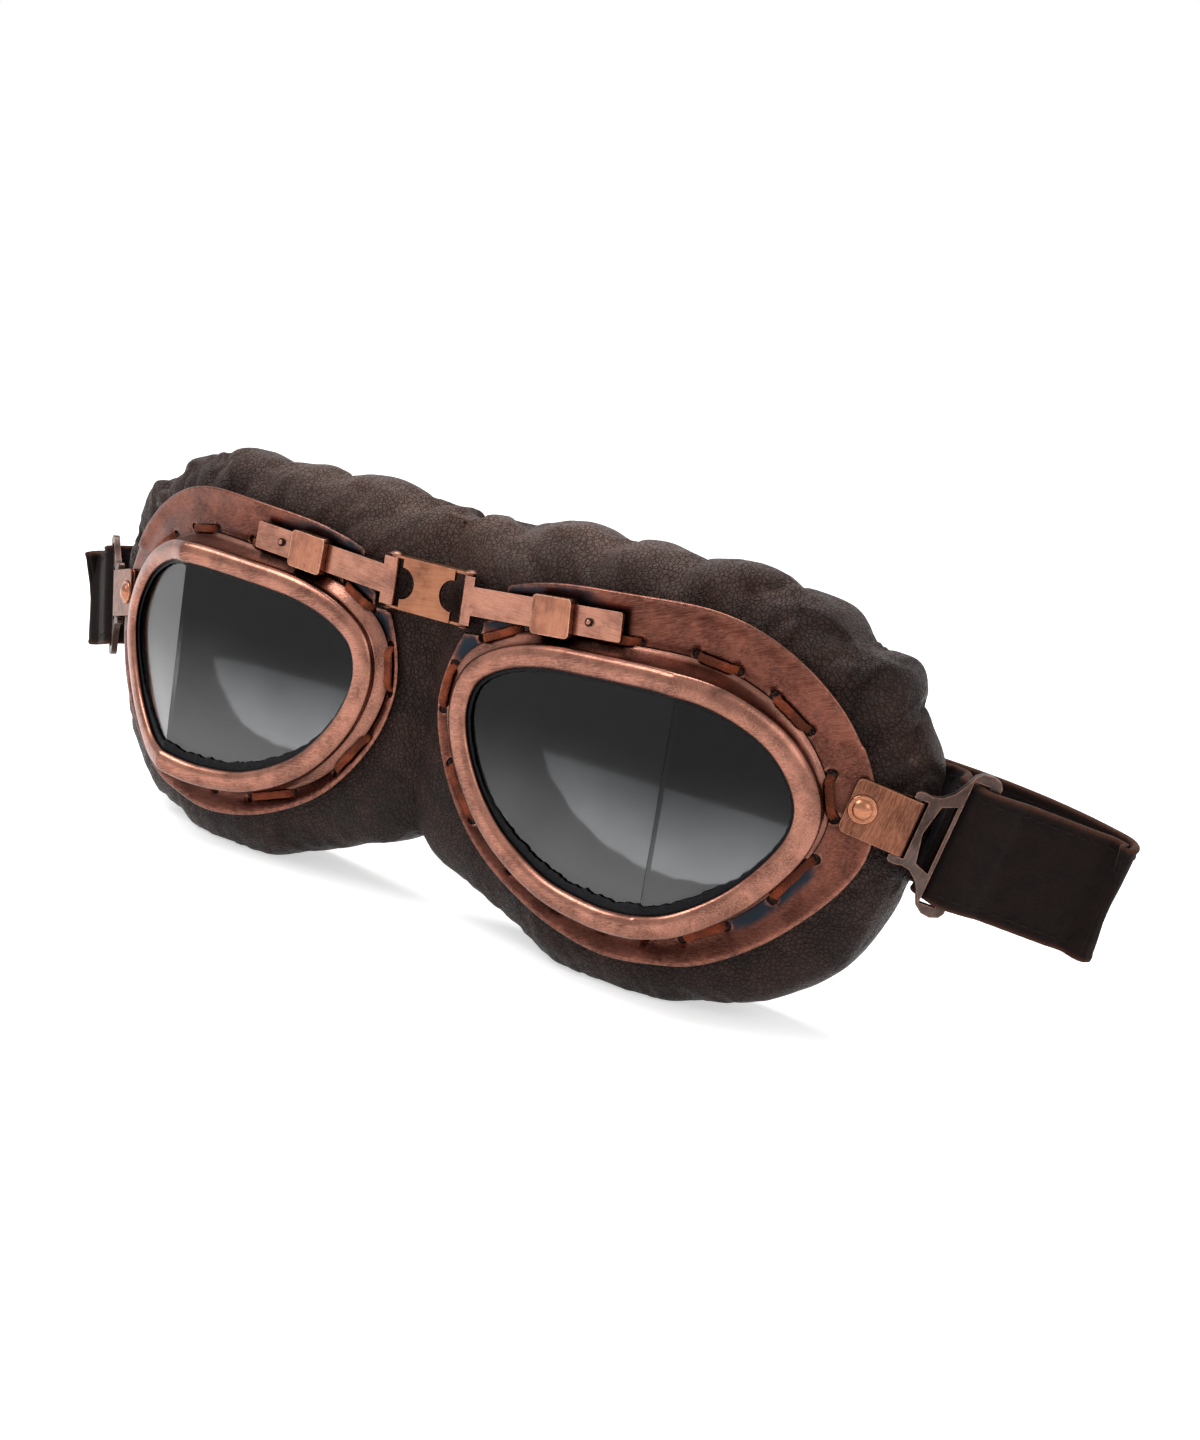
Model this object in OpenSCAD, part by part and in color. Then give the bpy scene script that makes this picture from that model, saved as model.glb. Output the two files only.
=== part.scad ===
// Laced leather riding goggles: two copper eye cups on a hinged bridge, with a
// padded leather cushion behind each cup and an elastic strap between two buckles.
// Millimetres. +X is the wearer's left, seen on the right from the front, -Y is the
// way the wearer looks, +Z is up. The goggles stand on the two cushions at Z = 0.

/* [Eye cups] */
// Distance from the middle of the nose to the rim of each cup
nose_half = 11; // [10.5:0.5:14]
// Width of the rim across one cup
rim_across = 82; // [74:1:86]
// Height of the rim of one cup
rim_height = 54; // [48:1:58]
// Height of the lowest point of the rim above the ground
rim_low = 15.5; // [13:0.5:18]
// Width of the rim's rounded face
rim_face = 4.6; // [3.8:0.2:5.6]
// Distance from the rim's nose end to the fold between the two panes
fold_reach = 54; // [48:1:58]
// Angle at which the front pane turns out of the face plane
front_turn = 4.5; // [2:0.5:6]
// Angle at which the side pane turns back towards the temple
side_turn = 25.5; // [20:0.5:28]
// Depth of the cup at the nose, from the flange to the rim's face
nose_depth = 4; // [3.5:0.1:4.5]
// Thickness of the lens panes
lens_thick = 1.6; // [1:0.1:1.8]

/* [Flange] */
// Thickness of the copper sheet
sheet = 0.8; // [0.6:0.1:1]
// Width of the flange beside the nose
brim_nose = 5.2; // [4.8:0.1:6]
// Width of the flange below the rim
brim_low = 6.9; // [6:0.1:8]
// Width of the flange at the temple
brim_side = 8.7; // [8:0.1:10]
// Width of the brim above the rim
brim_top = 12.5; // [11:0.5:13]
// Distance from the rim's nose end to the brim's square inner end
brim_start = 8; // [7:0.5:10]
// Radius of the curve that the flange follows round the temple
wrap_radius = 120; // [110:5:160]
// Number of stitches that lace one cushion to its flange
stitches = 11; // [8:1:12]
// Diameter of a stitch hole
stitch_hole = 2; // [1.8:0.1:2.2]
// Width of the leather lace
lace_width = 1.7; // [1.2:0.1:1.8]

/* [Bridge] */
// Distance from the middle of the nose to each hinge pin
hinge_half = 10; // [9.5:0.5:12]
// Height of the bridge's middle above the top of the rims
bridge_rise = 2.5; // [1.5:0.1:4]
// Height of the link plate
link_height = 11.3; // [10:0.1:12.5]
// Width of the link plate
link_width = 13.6; // [12:0.2:14.4]
// Thickness of the link plate
link_thick = 0.8; // [0.6:0.1:1]
// Thickness of the link's top and bottom ears
ear_thick = 0.5; // [0.4:0.05:0.8]
// Radius of the two half-round notches
notch_radius = 3.4; // [3:0.1:3.8]
// Radius of the hinge pins
pin_radius = 0.6; // [0.5:0.05:0.8]
// Radius of the rolled barrels at the arms' ends
barrel_radius = 1.25; // [1.1:0.05:1.4]
// Height of the sliding arms
arm_height = 6; // [5:0.2:6.6]
// Thickness of the sliding arms
arm_thick = 0.8; // [0.6:0.1:1]
// Length of a sliding arm, from its hinge pin
arm_length = 38.5; // [36:0.5:42]
// Angle at which the arms rise from the link
arm_rise = 3.9; // [2:0.1:5]
// Length of the keeper along the arm
keeper_length = 9.3; // [8:0.1:11]
// Distance from the hinge pin to the middle of the keeper
keeper_reach = 22.6; // [21:0.1:24]

/* [Strap fittings] */
// Distance from the rim's outer edge to the tab rivet
rivet_beyond = 6.3; // [6:0.1:7.2]
// Height of the tab rivets above the bottom of the rims
rivet_rise = 34.5; // [31:0.5:38]
// Radius of the rivet's domed head
rivet_head = 2.9; // [2.4:0.1:3.1]
// Height of the folded tab
tab_height = 11.4; // [10:0.2:12]
// Distance from the rivet to the buckle's pivot bar
tab_reach = 9; // [8:0.2:10]
// Angle at which the tab and buckle hang down from the level
droop = 13; // [8:0.5:16]
// Angle at which the buckle turns back from the tab
buckle_turn = 12; // [6:0.5:16]
// Thickness of the buckle plate
buckle_thick = 1.5; // [1.2:0.1:1.7]
// Width of the elastic strap
strap_width = 25; // [20:0.5:25.4]
// Thickness of the elastic strap
strap_thick = 1.5; // [1.2:0.1:1.5]
// Distance that the strap's far side hangs behind the cushions
strap_behind = 30.4; // [24:0.5:40]

/* [Cushion] */
// Distance from the rim's outer edge to the outer edge of a cushion
cushion_beyond = 14.5; // [12.5:0.5:17]
// Distance from the top of the rims to the top of the cushions
cushion_above = 20.5; // [18:0.5:23]
// Depth of a cushion beside the nose
cushion_depth = 24; // [20:0.5:28]
// Half of the gap between the two cushions at the nose
nose_gap = 3.2; // [3.2:0.1:4]
// Depth of the gathers along the top of a cushion
gather_depth = 0.8; // [0:0.1:1.2]
// Number of gathers in the leather, once round a cushion
gathers = 18; // [12:1:20]
// Thickness of the fabric lining
lining_thick = 0.8; // [0.5:0.1:1]

/* [Hidden] */
$fn = 48;

// Clearances: between moving or soft pieces, in the hinges, and between seated pieces
clear = 0.3;
running = 0.06;
seat = 0.05;

// Radius of the hinge pins' heads, how far the link's ears are set back from the front,
// and how far a cup slides towards the nose
pin_head = barrel_radius + 0.35;
ear_set = 0.3;
travel_in = 2.5;

// Places that follow from the sizes above
rim_outer = nose_half + rim_across;
rim_top = rim_low + rim_height;
brim_end = nose_half + brim_start;
bridge_height = rim_top + bridge_rise;
rivet_out = rim_outer + rivet_beyond;
rivet_height = rim_low + rivet_rise;
cushion_half = rim_outer + cushion_beyond;
cushion_height = rim_top + cushion_above;
cut_depth = rim_across;

// The rim's outline, as shares of its width and height, clockwise from the nose.
// The third value says how the flange's width is mixed: 0 nose, 1 low, 2 side, 3 top.
fold_share = fold_reach / rim_across;
RIM = [
    [0, 0.61, 0], [0.027, 0.79, 0.4], [0.119, 0.898, 3], [0.254, 0.961, 3],
    [0.436, 0.987, 3], [fold_share, 1, 3], [0.8, 0.952, 2.75], [0.925, 0.831, 2.3],
    [1, 0.639, 2], [0.99, 0.444, 2], [0.892, 0.218, 1.4], [0.768, 0.068, 1.1],
    [fold_share, 0.017, 1], [0.52, 0, 1], [0.346, 0.041, 0.3], [0.173, 0.18, 0.1],
    [0.053, 0.389, 0]
];

// The cushion's outline at the same places, as shares of its half width and height
PAD = [
    [0, 0.58], [0, 0.79], [0.02, 0.965], [0.19, 0.996],
    [0.41, 1], [0.62, 0.989], [0.8, 0.946], [0.935, 0.833],
    [1, 0.64], [0.993, 0.425], [0.925, 0.195], [0.77, 0.046],
    [0.655, 0.006], [0.52, -0.006], [0.345, 0.016], [0.158, 0.094], [0, 0.21]
];
KNOTS = len(RIM);
STATIONS = 4 * KNOTS;
EDGE_STATIONS = 6 * KNOTS;

// A point of a closed smooth curve through the knots K, at place s
function curve(p0, p1, p2, p3, t) =
    0.5 * (2 * p1 + (p2 - p0) * t + (2 * p0 - 5 * p1 + 4 * p2 - p3) * t * t
        + (3 * p1 - p0 - 3 * p2 + p3) * t * t * t);
function round_at(K, s) =
    let (n = len(K), k = floor(s), wrapped = (k + 4 * n) % n)
    curve(K[(wrapped + n - 1) % n], K[wrapped], K[(wrapped + 1) % n],
        K[(wrapped + 2) % n], s - k);

function rim_at(s) =
    let (p = round_at(RIM, s))
    [nose_half + rim_across * p[0], rim_low + rim_height * p[1]];
function outward(s) =
    let (d = rim_at(s + 0.02) - rim_at(s - 0.02))
    [-d[1], d[0]] / norm(d);
function rim_out(s, off) = rim_at(s) + off * outward(s);

// Width of the flange at place s, from the four widths
function brim_at(s) =
    lookup(min(3, max(0, round_at(RIM, s)[2])),
        [[0, brim_nose], [1, brim_low], [2, brim_side], [3, brim_top]]);

// Plan curves: the face of the rim, and the front of the flange
fold_x = nose_half + fold_reach;
flange_y = 2;
wrap_start = 45;
function flange_front(x) =
    flange_y + (x < wrap_start ? 0 : (x - wrap_start) * (x - wrap_start) / (2 * wrap_radius));
nose_face = flange_y - nose_depth;
fold_face = nose_face - fold_reach * tan(front_turn);
function rim_front(x) =
    x < fold_x ? nose_face - (x - nose_half) * tan(front_turn)
        : fold_face + (x - fold_x) * tan(side_turn);

// The cup's base leans out from the rim, up and towards the nose
base_out = 1;
lean = [-1.3, 0.7];
lace_out = 2.4;
function base_at(s, off) = rim_out(s, off) + lean;

// The cup's wall and the rounding of the rim's face
cup_wall = 0.9;
rim_round = 0.8;
neck_in = 0.5;

// How deep the pieces sit behind the rim's face
lip_depth = 1.7;
gasket_thick = 0.5;
pane_gap = 0.2;
pane_depth = lip_depth + seat + gasket_thick + pane_gap;
retainer_near = pane_depth + lens_thick / cos(side_turn) + seat;
retainer_thick = 0.9;
retainer_back = retainer_near + retainer_thick;
seat_off = -1.6;
pane_off = seat_off - clear;

// Cushion: where its front lies, and how deep it is at x
function pad_front(x) = flange_front(x) + sheet + clear;
pad_back_y = pad_front(0) + cushion_depth;
pad_back_wrap = 1500;
function pad_depth(x) = pad_back_y + x * x / pad_back_wrap - pad_front(x);
nose_taper = 0.22;
function nose_limit(y) = nose_gap + nose_taper * max(0, y - pad_front(0));
gather_from = 2;
gather_to = 8.5;
function gather(s) =
    let (w = max(0, min(1, min(s - gather_from, gather_to - s))))
    -gather_depth * w * (0.5 + 0.5 * cos(360 * gathers * s / KNOTS));
function pad_out(s) =
    let (p = round_at(PAD, s), q = [cushion_half * p[0], cushion_height * p[1]])
    q + gather(s) * outward(s);

// Strap fittings: the tab lies along the flange at the rivet
tab_sheet = 0.7;
bar_radius = 0.88;
loop_inner = bar_radius + running;
loop_outer = loop_inner + tab_sheet;
tab_turn = atan((rivet_out - wrap_start) / wrap_radius);
rivet_at = [rivet_out, flange_front(rivet_out), rivet_height];
shank_radius = 1.2;
tab_end = 3;
thin_bar_at = 7.6;
slot_at = 8.4;
slot_length = 3.4;
outer_bar = 2.2;
buckle_reach = slot_at + slot_length + outer_bar;

function turn_z(p, a) = [p[0] * cos(a) - p[1] * sin(a), p[0] * sin(a) + p[1] * cos(a), p[2]];
function turn_y(p, a) = [p[0] * cos(a) + p[2] * sin(a), p[1], p[2] * cos(a) - p[0] * sin(a)];

// A point of the buckle: u outward from its pivot bar, v forward from its middle plane.
// The last value says how far the strap's width follows the pivot bar there.
bar_axis = turn_z(turn_y([0, 0, 1], droop), tab_turn);
function buckle_point(u, v) = concat(
    rivet_at + turn_z(turn_y([tab_reach, 0, 0] + turn_z([u, -v, 0], buckle_turn), droop), tab_turn),
    [1]
);

// The strap's route on one side, from its loose tail through the buckle's slot and
// over its outer bar, out to the fold, and back behind the cushion to the middle
strap_half = strap_thick / 2;
ride = buckle_thick / 2 + strap_half + clear;
strap_back_y = pad_back_y + strap_behind;
function behind(out, back, up, share) =
    [cushion_half + out, strap_back_y + back, rivet_height + up, share];
STRAP_SIDE = [
    behind(-15.5, -19.9, -5.1, 0), behind(-10.5, -19.9, -5, 0.2), behind(-5.5, -20.6, -4.7, 0.4),
    behind(-0.7, -22.8, -4.2, 0.7), behind(2.3, -26.1, -3.8, 0.9), behind(3.3, -29.2, -3.6, 1),
    buckle_point(7.9, -ride - 1.8), buckle_point(8.4, -ride - 0.5),
    buckle_point(9.2, -ride + 0.5), buckle_point(10.1, 0), buckle_point(11.2, ride - 0.35),
    buckle_point(12.1, ride), buckle_point(13.2, ride), buckle_point(15, ride - 0.3),
    buckle_point(18, ride - 1), buckle_point(21, 0), buckle_point(28, 0), buckle_point(35, 0),
    buckle_point(39, -0.3),
    behind(33.6, -16.6, -11.4, 1), behind(33.8, -14.5, -11.1, 1), behind(32.4, -12.5, -10.8, 0.9),
    behind(29.5, -10.8, -10.5, 0.8), behind(22.5, -8.2, -9.7, 0.6), behind(12.5, -5.5, -8.8, 0.4),
    behind(0.5, -3.3, -8, 0.2), behind(-13.5, -1.8, -7.4, 0), behind(-31.5, -0.8, -7.1, 0),
    behind(-51.5, -0.3, -7, 0), behind(-71.5, -0.1, -7, 0), behind(-89.5, 0, -7, 0),
    behind(-cushion_half, 0, -7, 0)
];
STRAP = concat(STRAP_SIDE,
    [for (i = [len(STRAP_SIDE) - 2 : -1 : 0]) let (p = STRAP_SIDE[i]) [-p[0], p[1], p[2], p[3]]]);

// The whole model is moved so that the origin is midway between front and back
y_shift = -(fold_face + strap_back_y + strap_half) / 2;

module seated() {
    translate([0, y_shift, 0]) children();
}

module left() {
    mirror([1, 0, 0]) children();
}

// A closed skin through rings of points: the rings close on each other, or have end caps
module skin(rings, closed = true) {
    n = len(rings);
    m = len(rings[0]);
    points = [for (ring = rings) each ring];
    spans = closed ? n : n - 1;
    walls = [
        for (i = [0 : spans - 1], j = [0 : m - 1])
            let (k = (i + 1) % n, q = (j + 1) % m)
            each [[i * m + j, k * m + j, k * m + q], [i * m + j, k * m + q, i * m + q]]
    ];
    caps = closed ? [] : [
        for (j = [1 : m - 2])
            each [[0, j, j + 1], [(n - 1) * m, (n - 1) * m + j + 1, (n - 1) * m + j]]
    ];
    polyhedron(points = points, faces = concat(walls, caps), convexity = 8);
}

// A flat outline in X and Z, pushed through the whole depth along Y
module through(depth = cut_depth) {
    translate([0, depth / 2, 0]) rotate([90, 0, 0]) linear_extrude(depth) children();
}

// A sheet that follows a plan curve: the flange between two offsets from its front
module flange_sheet(front_off, back_off) {
    steps = 36;
    reach = cushion_half + 5;
    xs = [for (i = [0 : steps]) i * reach / steps];
    linear_extrude(cushion_height + 10)
        polygon(concat(
            [for (x = xs) [x, flange_front(x) + front_off]],
            [for (i = [steps : -1 : 0]) [xs[i], flange_front(xs[i]) + back_off]]
        ));
}

module round_rect(size, r) {
    translate([r, 0]) square([size[0] - 2 * r, size[1]]);
    translate([0, r]) square([size[0], size[1] - 2 * r]);
    for (x = [r, size[0] - r], y = [r, size[1] - r])
        translate([x, y]) circle(r = r);
}

// Bridge

module bridge_link() {
    color("chocolate") seated() difference() {
        union() {
            translate([0, link_thick, 0]) rotate([90, 0, 0]) linear_extrude(link_thick)
                difference() {
                    translate([-link_width / 2, bridge_height - link_height / 2])
                        square([link_width, link_height]);
                    for (side = [-1, 1])
                        translate([side * link_width / 2, bridge_height])
                            circle(r = notch_radius);
                }
            for (end = [-1, 1])
                translate([0, 0, bridge_height + end * (link_height - ear_thick) / 2])
                    link_ear();
        }
        for (side = [-1, 1])
            translate([side * hinge_half, barrel_radius, bridge_height])
                cylinder(r = pin_radius + running, h = link_height + 2, center = true);
    }
}

// An ear runs along the plate's edge and carries the ends of both pins
module link_ear() {
    back = 2 * barrel_radius;
    linear_extrude(ear_thick, center = true) {
        translate([-hinge_half, ear_set]) square([2 * hinge_half, back - ear_set]);
        translate([-link_width / 2, 0]) square([link_width, back]);
        for (side = [-1, 1])
            translate([side * hinge_half, barrel_radius]) circle(r = barrel_radius - ear_set);
    }
}

module hinge_pin() {
    color("peru") seated() translate([hinge_half, barrel_radius, bridge_height]) {
        cylinder(r = pin_radius, h = link_height + 1, center = true);
        for (end = [-1, 1])
            mirror([0, 0, end < 0 ? 1 : 0]) translate([0, 0, link_height / 2 + seat])
                rotate_extrude() intersection() {
                    translate([0, -pin_head]) circle(r = pin_head * 1.4);
                    square([pin_head, 1]);
                }
    }
}

// The arm's own frame: X runs out along the bar, from the hinge pin
module arm_frame() {
    seated() translate([hinge_half, 0, bridge_height]) rotate([0, -arm_rise, 0]) children();
}

t_height = link_height - 2 * ear_thick - 2 * seat;
t_length = 2;
stop_at = arm_length - 7.5;
stop_radius = 0.9;

module arm() {
    color("sandybrown") {
        arm_frame() {
            translate([0, arm_thick, 0]) rotate([90, 0, 0]) linear_extrude(arm_thick)
                translate([t_length - 1, -arm_height / 2])
                    round_rect([arm_length - t_length + 1, arm_height], 0.6);
            translate([stop_at, 0, 0]) rotate([90, 0, 0])
                rotate_extrude() intersection() {
                    translate([0, -0.6]) circle(r = 1.1);
                    square([stop_radius, 1]);
                }
        }
        seated() translate([hinge_half, barrel_radius, bridge_height]) difference() {
            union() {
                cylinder(r = barrel_radius, h = t_height, center = true);
                translate([0, -barrel_radius, -t_height / 2])
                    cube([t_length, arm_thick, t_height]);
            }
            cylinder(r = pin_radius + running, h = t_height + 2, center = true);
        }
    }
}

module keeper() {
    slide_gap = 0.12;
    wall = 0.9;
    height = arm_height + 2 * (wall + slide_gap);
    stand = 1.6;
    color("peru") arm_frame() translate([keeper_reach - keeper_length / 2, 0, 0]) difference() {
        translate([0, flange_y - seat, -height / 2]) rotate([90, 0, 0])
            linear_extrude(stand + flange_y - seat) round_rect([keeper_length, height], 1);
        translate([-1, -slide_gap, -arm_height / 2 - slide_gap])
            cube([keeper_length + 2, arm_thick + 2 * slide_gap, arm_height + 2 * slide_gap]);
    }
}

// Eye cup

module edge_outline(off) {
    polygon([for (i = [0 : EDGE_STATIONS - 1]) rim_out(i * KNOTS / EDGE_STATIONS, off)]);
}

// The flange ends short of the hinge, so that the cup can slide in under the arm
module flange_outline() {
    hinge_room = hinge_half + pin_head + travel_in + clear;
    difference() {
        polygon([for (i = [0 : EDGE_STATIONS - 1])
            let (s = i * KNOTS / EDGE_STATIONS) rim_out(s, min(brim_at(s), brim_low))]);
        translate([0, bridge_height - link_height / 2 - 1.2])
            square([hinge_room, link_height]);
    }
    intersection() {
        polygon([for (i = [0 : EDGE_STATIONS - 1])
            let (s = i * KNOTS / EDGE_STATIONS) rim_out(s, brim_at(s))]);
        translate([brim_end, 0]) round_rect([2 * rim_across, rim_top + brim_top], 1.5);
    }
}

// The stitch holes run clockwise from one side of the keeper round to its other side,
// and crowd together under the nose
first_hole = 3.7;
last_hole = KNOTS + 2.46;
crowding = 0.65;
function lace_at(i) =
    let (t = i / (2 * stitches - 1))
    base_at(first_hole + (last_hole - first_hole) * t - crowding * sin(180 * t), lace_out);

module flange() {
    color("peru") seated() difference() {
        intersection() {
            through() difference() {
                flange_outline();
                edge_outline(seat_off + 0.4);
            }
            flange_sheet(0, sheet);
        }
        for (i = [0 : 2 * stitches - 1])
            translate([lace_at(i)[0], 0, lace_at(i)[1]]) rotate([90, 0, 0])
                cylinder(d = stitch_hole, h = cut_depth, center = true);
        translate(rivet_at) rotate([90, 0, tab_turn])
            cylinder(r = shank_radius + running, h = 8, center = true);
    }
}

// One cut through the rim and the cup's wall: offset from the rim line, and depth
function bezel_ring(s) =
    let (
        top = rim_out(s, 0),
        face = rim_front(top[0]),
        floor_y = flange_front(top[0]) - seat,
        neck = min(face + 3, floor_y - neck_in),
        at = function (off, down)
            let (p = rim_out(s, off)) [p[0], rim_front(p[0]) + down, p[1]],
        low = function (off)
            let (p = base_at(s, off)) [p[0], flange_front(p[0]) - seat, p[1]],
        neck_at = function (off) let (p = rim_out(s, off)) [p[0], neck, p[1]]
    )
    [
        low(base_out), neck_at(-neck_in), at(0, lip_depth + 0.4), at(0, 1), at(-rim_round, 0.1),
        at(-rim_face / 2, 0), at(rim_round - rim_face, 0.25), at(-rim_face, 1),
        at(-rim_face, lip_depth), at(seat_off, lip_depth), neck_at(-neck_in - cup_wall - seat),
        low(base_out - cup_wall)
    ];

module bezel() {
    color("chocolate") seated()
        skin([for (i = [0 : STATIONS - 1]) bezel_ring(i * KNOTS / STATIONS)]);
}

// A flat ring behind the rim's face, between two offsets and two depths
function band_ring(s, out_off, in_off, near, far) =
    [for (c = [[out_off, near], [in_off, near], [in_off, far], [out_off, far]])
        let (p = rim_out(s, c[0])) [p[0], rim_front(p[0]) + c[1], p[1]]];

module gasket() {
    near = lip_depth + seat;
    color("#15171a") seated()
        skin([for (i = [0 : STATIONS - 1])
            band_ring(i * KNOTS / STATIONS, pane_off, -rim_face - 0.8, near, near + gasket_thick)]);
}

module retainer() {
    color("dimgray") seated()
        skin([for (i = [0 : STATIONS - 1])
            band_ring(i * KNOTS / STATIONS, pane_off, -rim_face + 0.4, retainer_near,
                retainer_back)]);
}

// A pane: the outline pushed through a slab that leans with its part of the rim's face
module pane(turn, from, to) {
    span = rim_across;
    color([0.3, 0.31, 0.33, 0.7]) seated() intersection() {
        through() edge_outline(pane_off);
        translate([fold_x, fold_face + pane_depth, 0]) rotate([0, 0, turn])
            translate([-span, 0, 0]) cube([2 * span, lens_thick, cushion_height]);
        translate([from, -cut_depth / 2, 0]) cube([to - from, cut_depth, cushion_height]);
    }
}

module lens_front() {
    pane(-front_turn, 0, fold_x - seat);
}

module lens_side() {
    pane(side_turn, fold_x + seat, fold_x + rim_across);
}

// A bar lying from a to b, with its middle on the line between them
module bar_between(a, b, width, thick) {
    d = b - a;
    flat = norm([d[0], d[1]]);
    translate(a) rotate([0, -atan2(d[2], flat), atan2(d[1], d[0])])
        translate([0, -thick / 2, -width / 2]) cube([norm(d), thick, width]);
}

module lace() {
    lace_thick = 0.7;
    lift = lace_thick / 2 + 0.15;
    lace_past = 0.5;
    leg = min(lace_width, stitch_hole) / 2 - 0.1;
    color("sienna") seated() for (i = [0 : stitches - 1]) {
        ends = [for (k = [2 * i, 2 * i + 1])
            let (p = lace_at(k)) [p[0], flange_front(p[0]) - lift, p[1]]];
        past = lace_past * (ends[1] - ends[0]) / norm(ends[1] - ends[0]);
        bar_between(ends[0] - past, ends[1] + past, lace_width, lace_thick);
        for (p = ends)
            translate([p[0], p[1] - lace_thick / 2, p[2]]) rotate([-90, 0, 0])
                cylinder(r = leg, h = lift + lace_thick / 2 + sheet + seat);
    }
}

// Cushion and lining

// A point between the flange's edge (0) and the cushion's outline (1), and so deep
function pad_at(s, share, deep) =
    let (
        edge = rim_out(s, min(brim_at(s), brim_low) - 1.2),
        p = edge + (pad_out(s) - edge) * share,
        y = pad_front(abs(p[0])) + deep * pad_depth(p[0])
    )
    [max(p[0], nose_limit(y)), y, max(p[1], 0)];

// A point by its offset from the rim line, and so deep, but always behind the retainer
function eye_at(s, off, deep) =
    let (
        p = rim_out(s, off),
        free_y = rim_front(p[0]) + retainer_back + clear,
        y = max(pad_front(p[0]) + deep * pad_depth(p[0]), free_y)
    )
    [max(p[0], nose_limit(y)), y, p[1]];

function cushion_ring(s) = [
    eye_at(s, -4.2, 0.3), eye_at(s, -5, 0.74), eye_at(s, -2.6, 0.94), eye_at(s, 1.5, 1),
    pad_at(s, 0.62, 0.95), pad_at(s, 0.87, 0.86), pad_at(s, 0.955, 0.74), pad_at(s, 1, 0.6),
    pad_at(s, 1, 0.38), pad_at(s, 0.955, 0.26), pad_at(s, 0.84, 0.16), pad_at(s, 0.5, 0.05),
    pad_at(s, 0, 0), eye_at(s, -1.3, 0)
];

module cushion() {
    color("#3a2c27") seated()
        skin([for (i = [0 : STATIONS - 1]) cushion_ring(i * KNOTS / STATIONS)]);
}

function lining_ring(s) =
    let (outer = [[-3.2, 0.93], [-5.4, 0.74], [-4.6, 0.3], [-2.1, 0.05]])
    concat(
        [for (c = outer) eye_at(s, c[0], c[1])],
        [for (i = [len(outer) - 1 : -1 : 0]) eye_at(s, outer[i][0] - lining_thick, outer[i][1])]
    );

module lining() {
    color("#1d1a1a") seated()
        skin([for (i = [0 : STATIONS - 1]) lining_ring(i * KNOTS / STATIONS)]);
}

// Strap fittings

// The tab's own frame: X runs out from the rivet, Y into the flange, Z up
module tab_frame() {
    seated() translate(rivet_at) rotate([0, 0, tab_turn]) rotate([0, droop, 0]) children();
}

module tab() {
    leaf_low = 0.2;
    ramp_start = 5.6;
    ramp_end = tab_reach - 1.7;
    under = loop_inner - 0.05;
    color("sandybrown") tab_frame() difference() {
        intersection() {
            linear_extrude(tab_height, center = true) {
                translate([-tab_end, -loop_outer]) square([tab_end + tab_reach, tab_sheet]);
                translate([-tab_end, -under]) square([tab_end + ramp_start, under - leaf_low]);
                polygon([[ramp_start - 0.4, -under], [ramp_end, loop_inner],
                    [tab_reach, loop_inner], [tab_reach, loop_outer],
                    [ramp_end - 0.4, loop_outer], [ramp_start - 0.4, -leaf_low]]);
                translate([tab_reach, 0]) difference() {
                    circle(r = loop_outer);
                    circle(r = loop_inner);
                    translate([-2 * loop_outer, -loop_outer])
                        square([2 * loop_outer, 2 * loop_outer]);
                }
            }
            translate([-tab_end, 10, -tab_height / 2]) rotate([90, 0, 0])
                linear_extrude(20) round_rect([tab_end + tab_reach + 4, tab_height], 1.6);
        }
        rotate([90, 0, 0]) cylinder(r = shank_radius + running, h = 10, center = true);
    }
}

module rivet() {
    dome = 1.3;
    dome_radius = (rivet_head * rivet_head + dome * dome) / (2 * dome);
    color("sandybrown") seated() translate(rivet_at) rotate([90, 0, tab_turn]) {
        translate([0, 0, -sheet - 0.2])
            cylinder(r = shank_radius, h = sheet + 0.3 + loop_outer + seat);
        translate([0, 0, loop_outer + seat]) rotate_extrude() intersection() {
            translate([0, dome - dome_radius]) circle(r = dome_radius, $fn = 96);
            square([rivet_head, dome]);
        }
    }
}

module buckle() {
    ear_in = tab_height / 2 + clear;
    rail = strap_width / 2 + 0.5;
    half = [
        [-1.1, ear_in], [-1.1, ear_in + 1], [-0.6, ear_in + 1.5], [0.6, ear_in + 1.6],
        [2.2, ear_in + 1.3], [4, ear_in + 1.7], [6, ear_in + 3.4], [7.5, rail - 1],
        [8.4, rail + 1], [9.6, rail + 1.9], [11.5, rail + 2.2],
        [buckle_reach - 0.7, rail + 1.6], [buckle_reach, rail + 0.5]
    ];
    count = len(half);
    web = loop_outer + clear;
    color("dimgray") tab_frame() translate([tab_reach, 0, 0]) rotate([0, 0, buckle_turn]) {
        translate([0, buckle_thick / 2, 0]) rotate([90, 0, 0]) linear_extrude(buckle_thick)
            difference() {
                polygon(concat(half,
                    [for (i = [count - 1 : -1 : 0]) [half[i][0], -half[i][1]]]));
                translate([-2, -ear_in]) square([2 + web, 2 * ear_in]);
                polygon([[thin_bar_at, 7.2], [4.6, 6], [web + 1.4, 0], [4.6, -6],
                    [thin_bar_at, -7.2]]);
                translate([slot_at, -rail]) square([slot_length, 2 * rail]);
            }
        cylinder(r = bar_radius, h = 2 * ear_in + 1, center = true);
    }
}

// Strap

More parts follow.
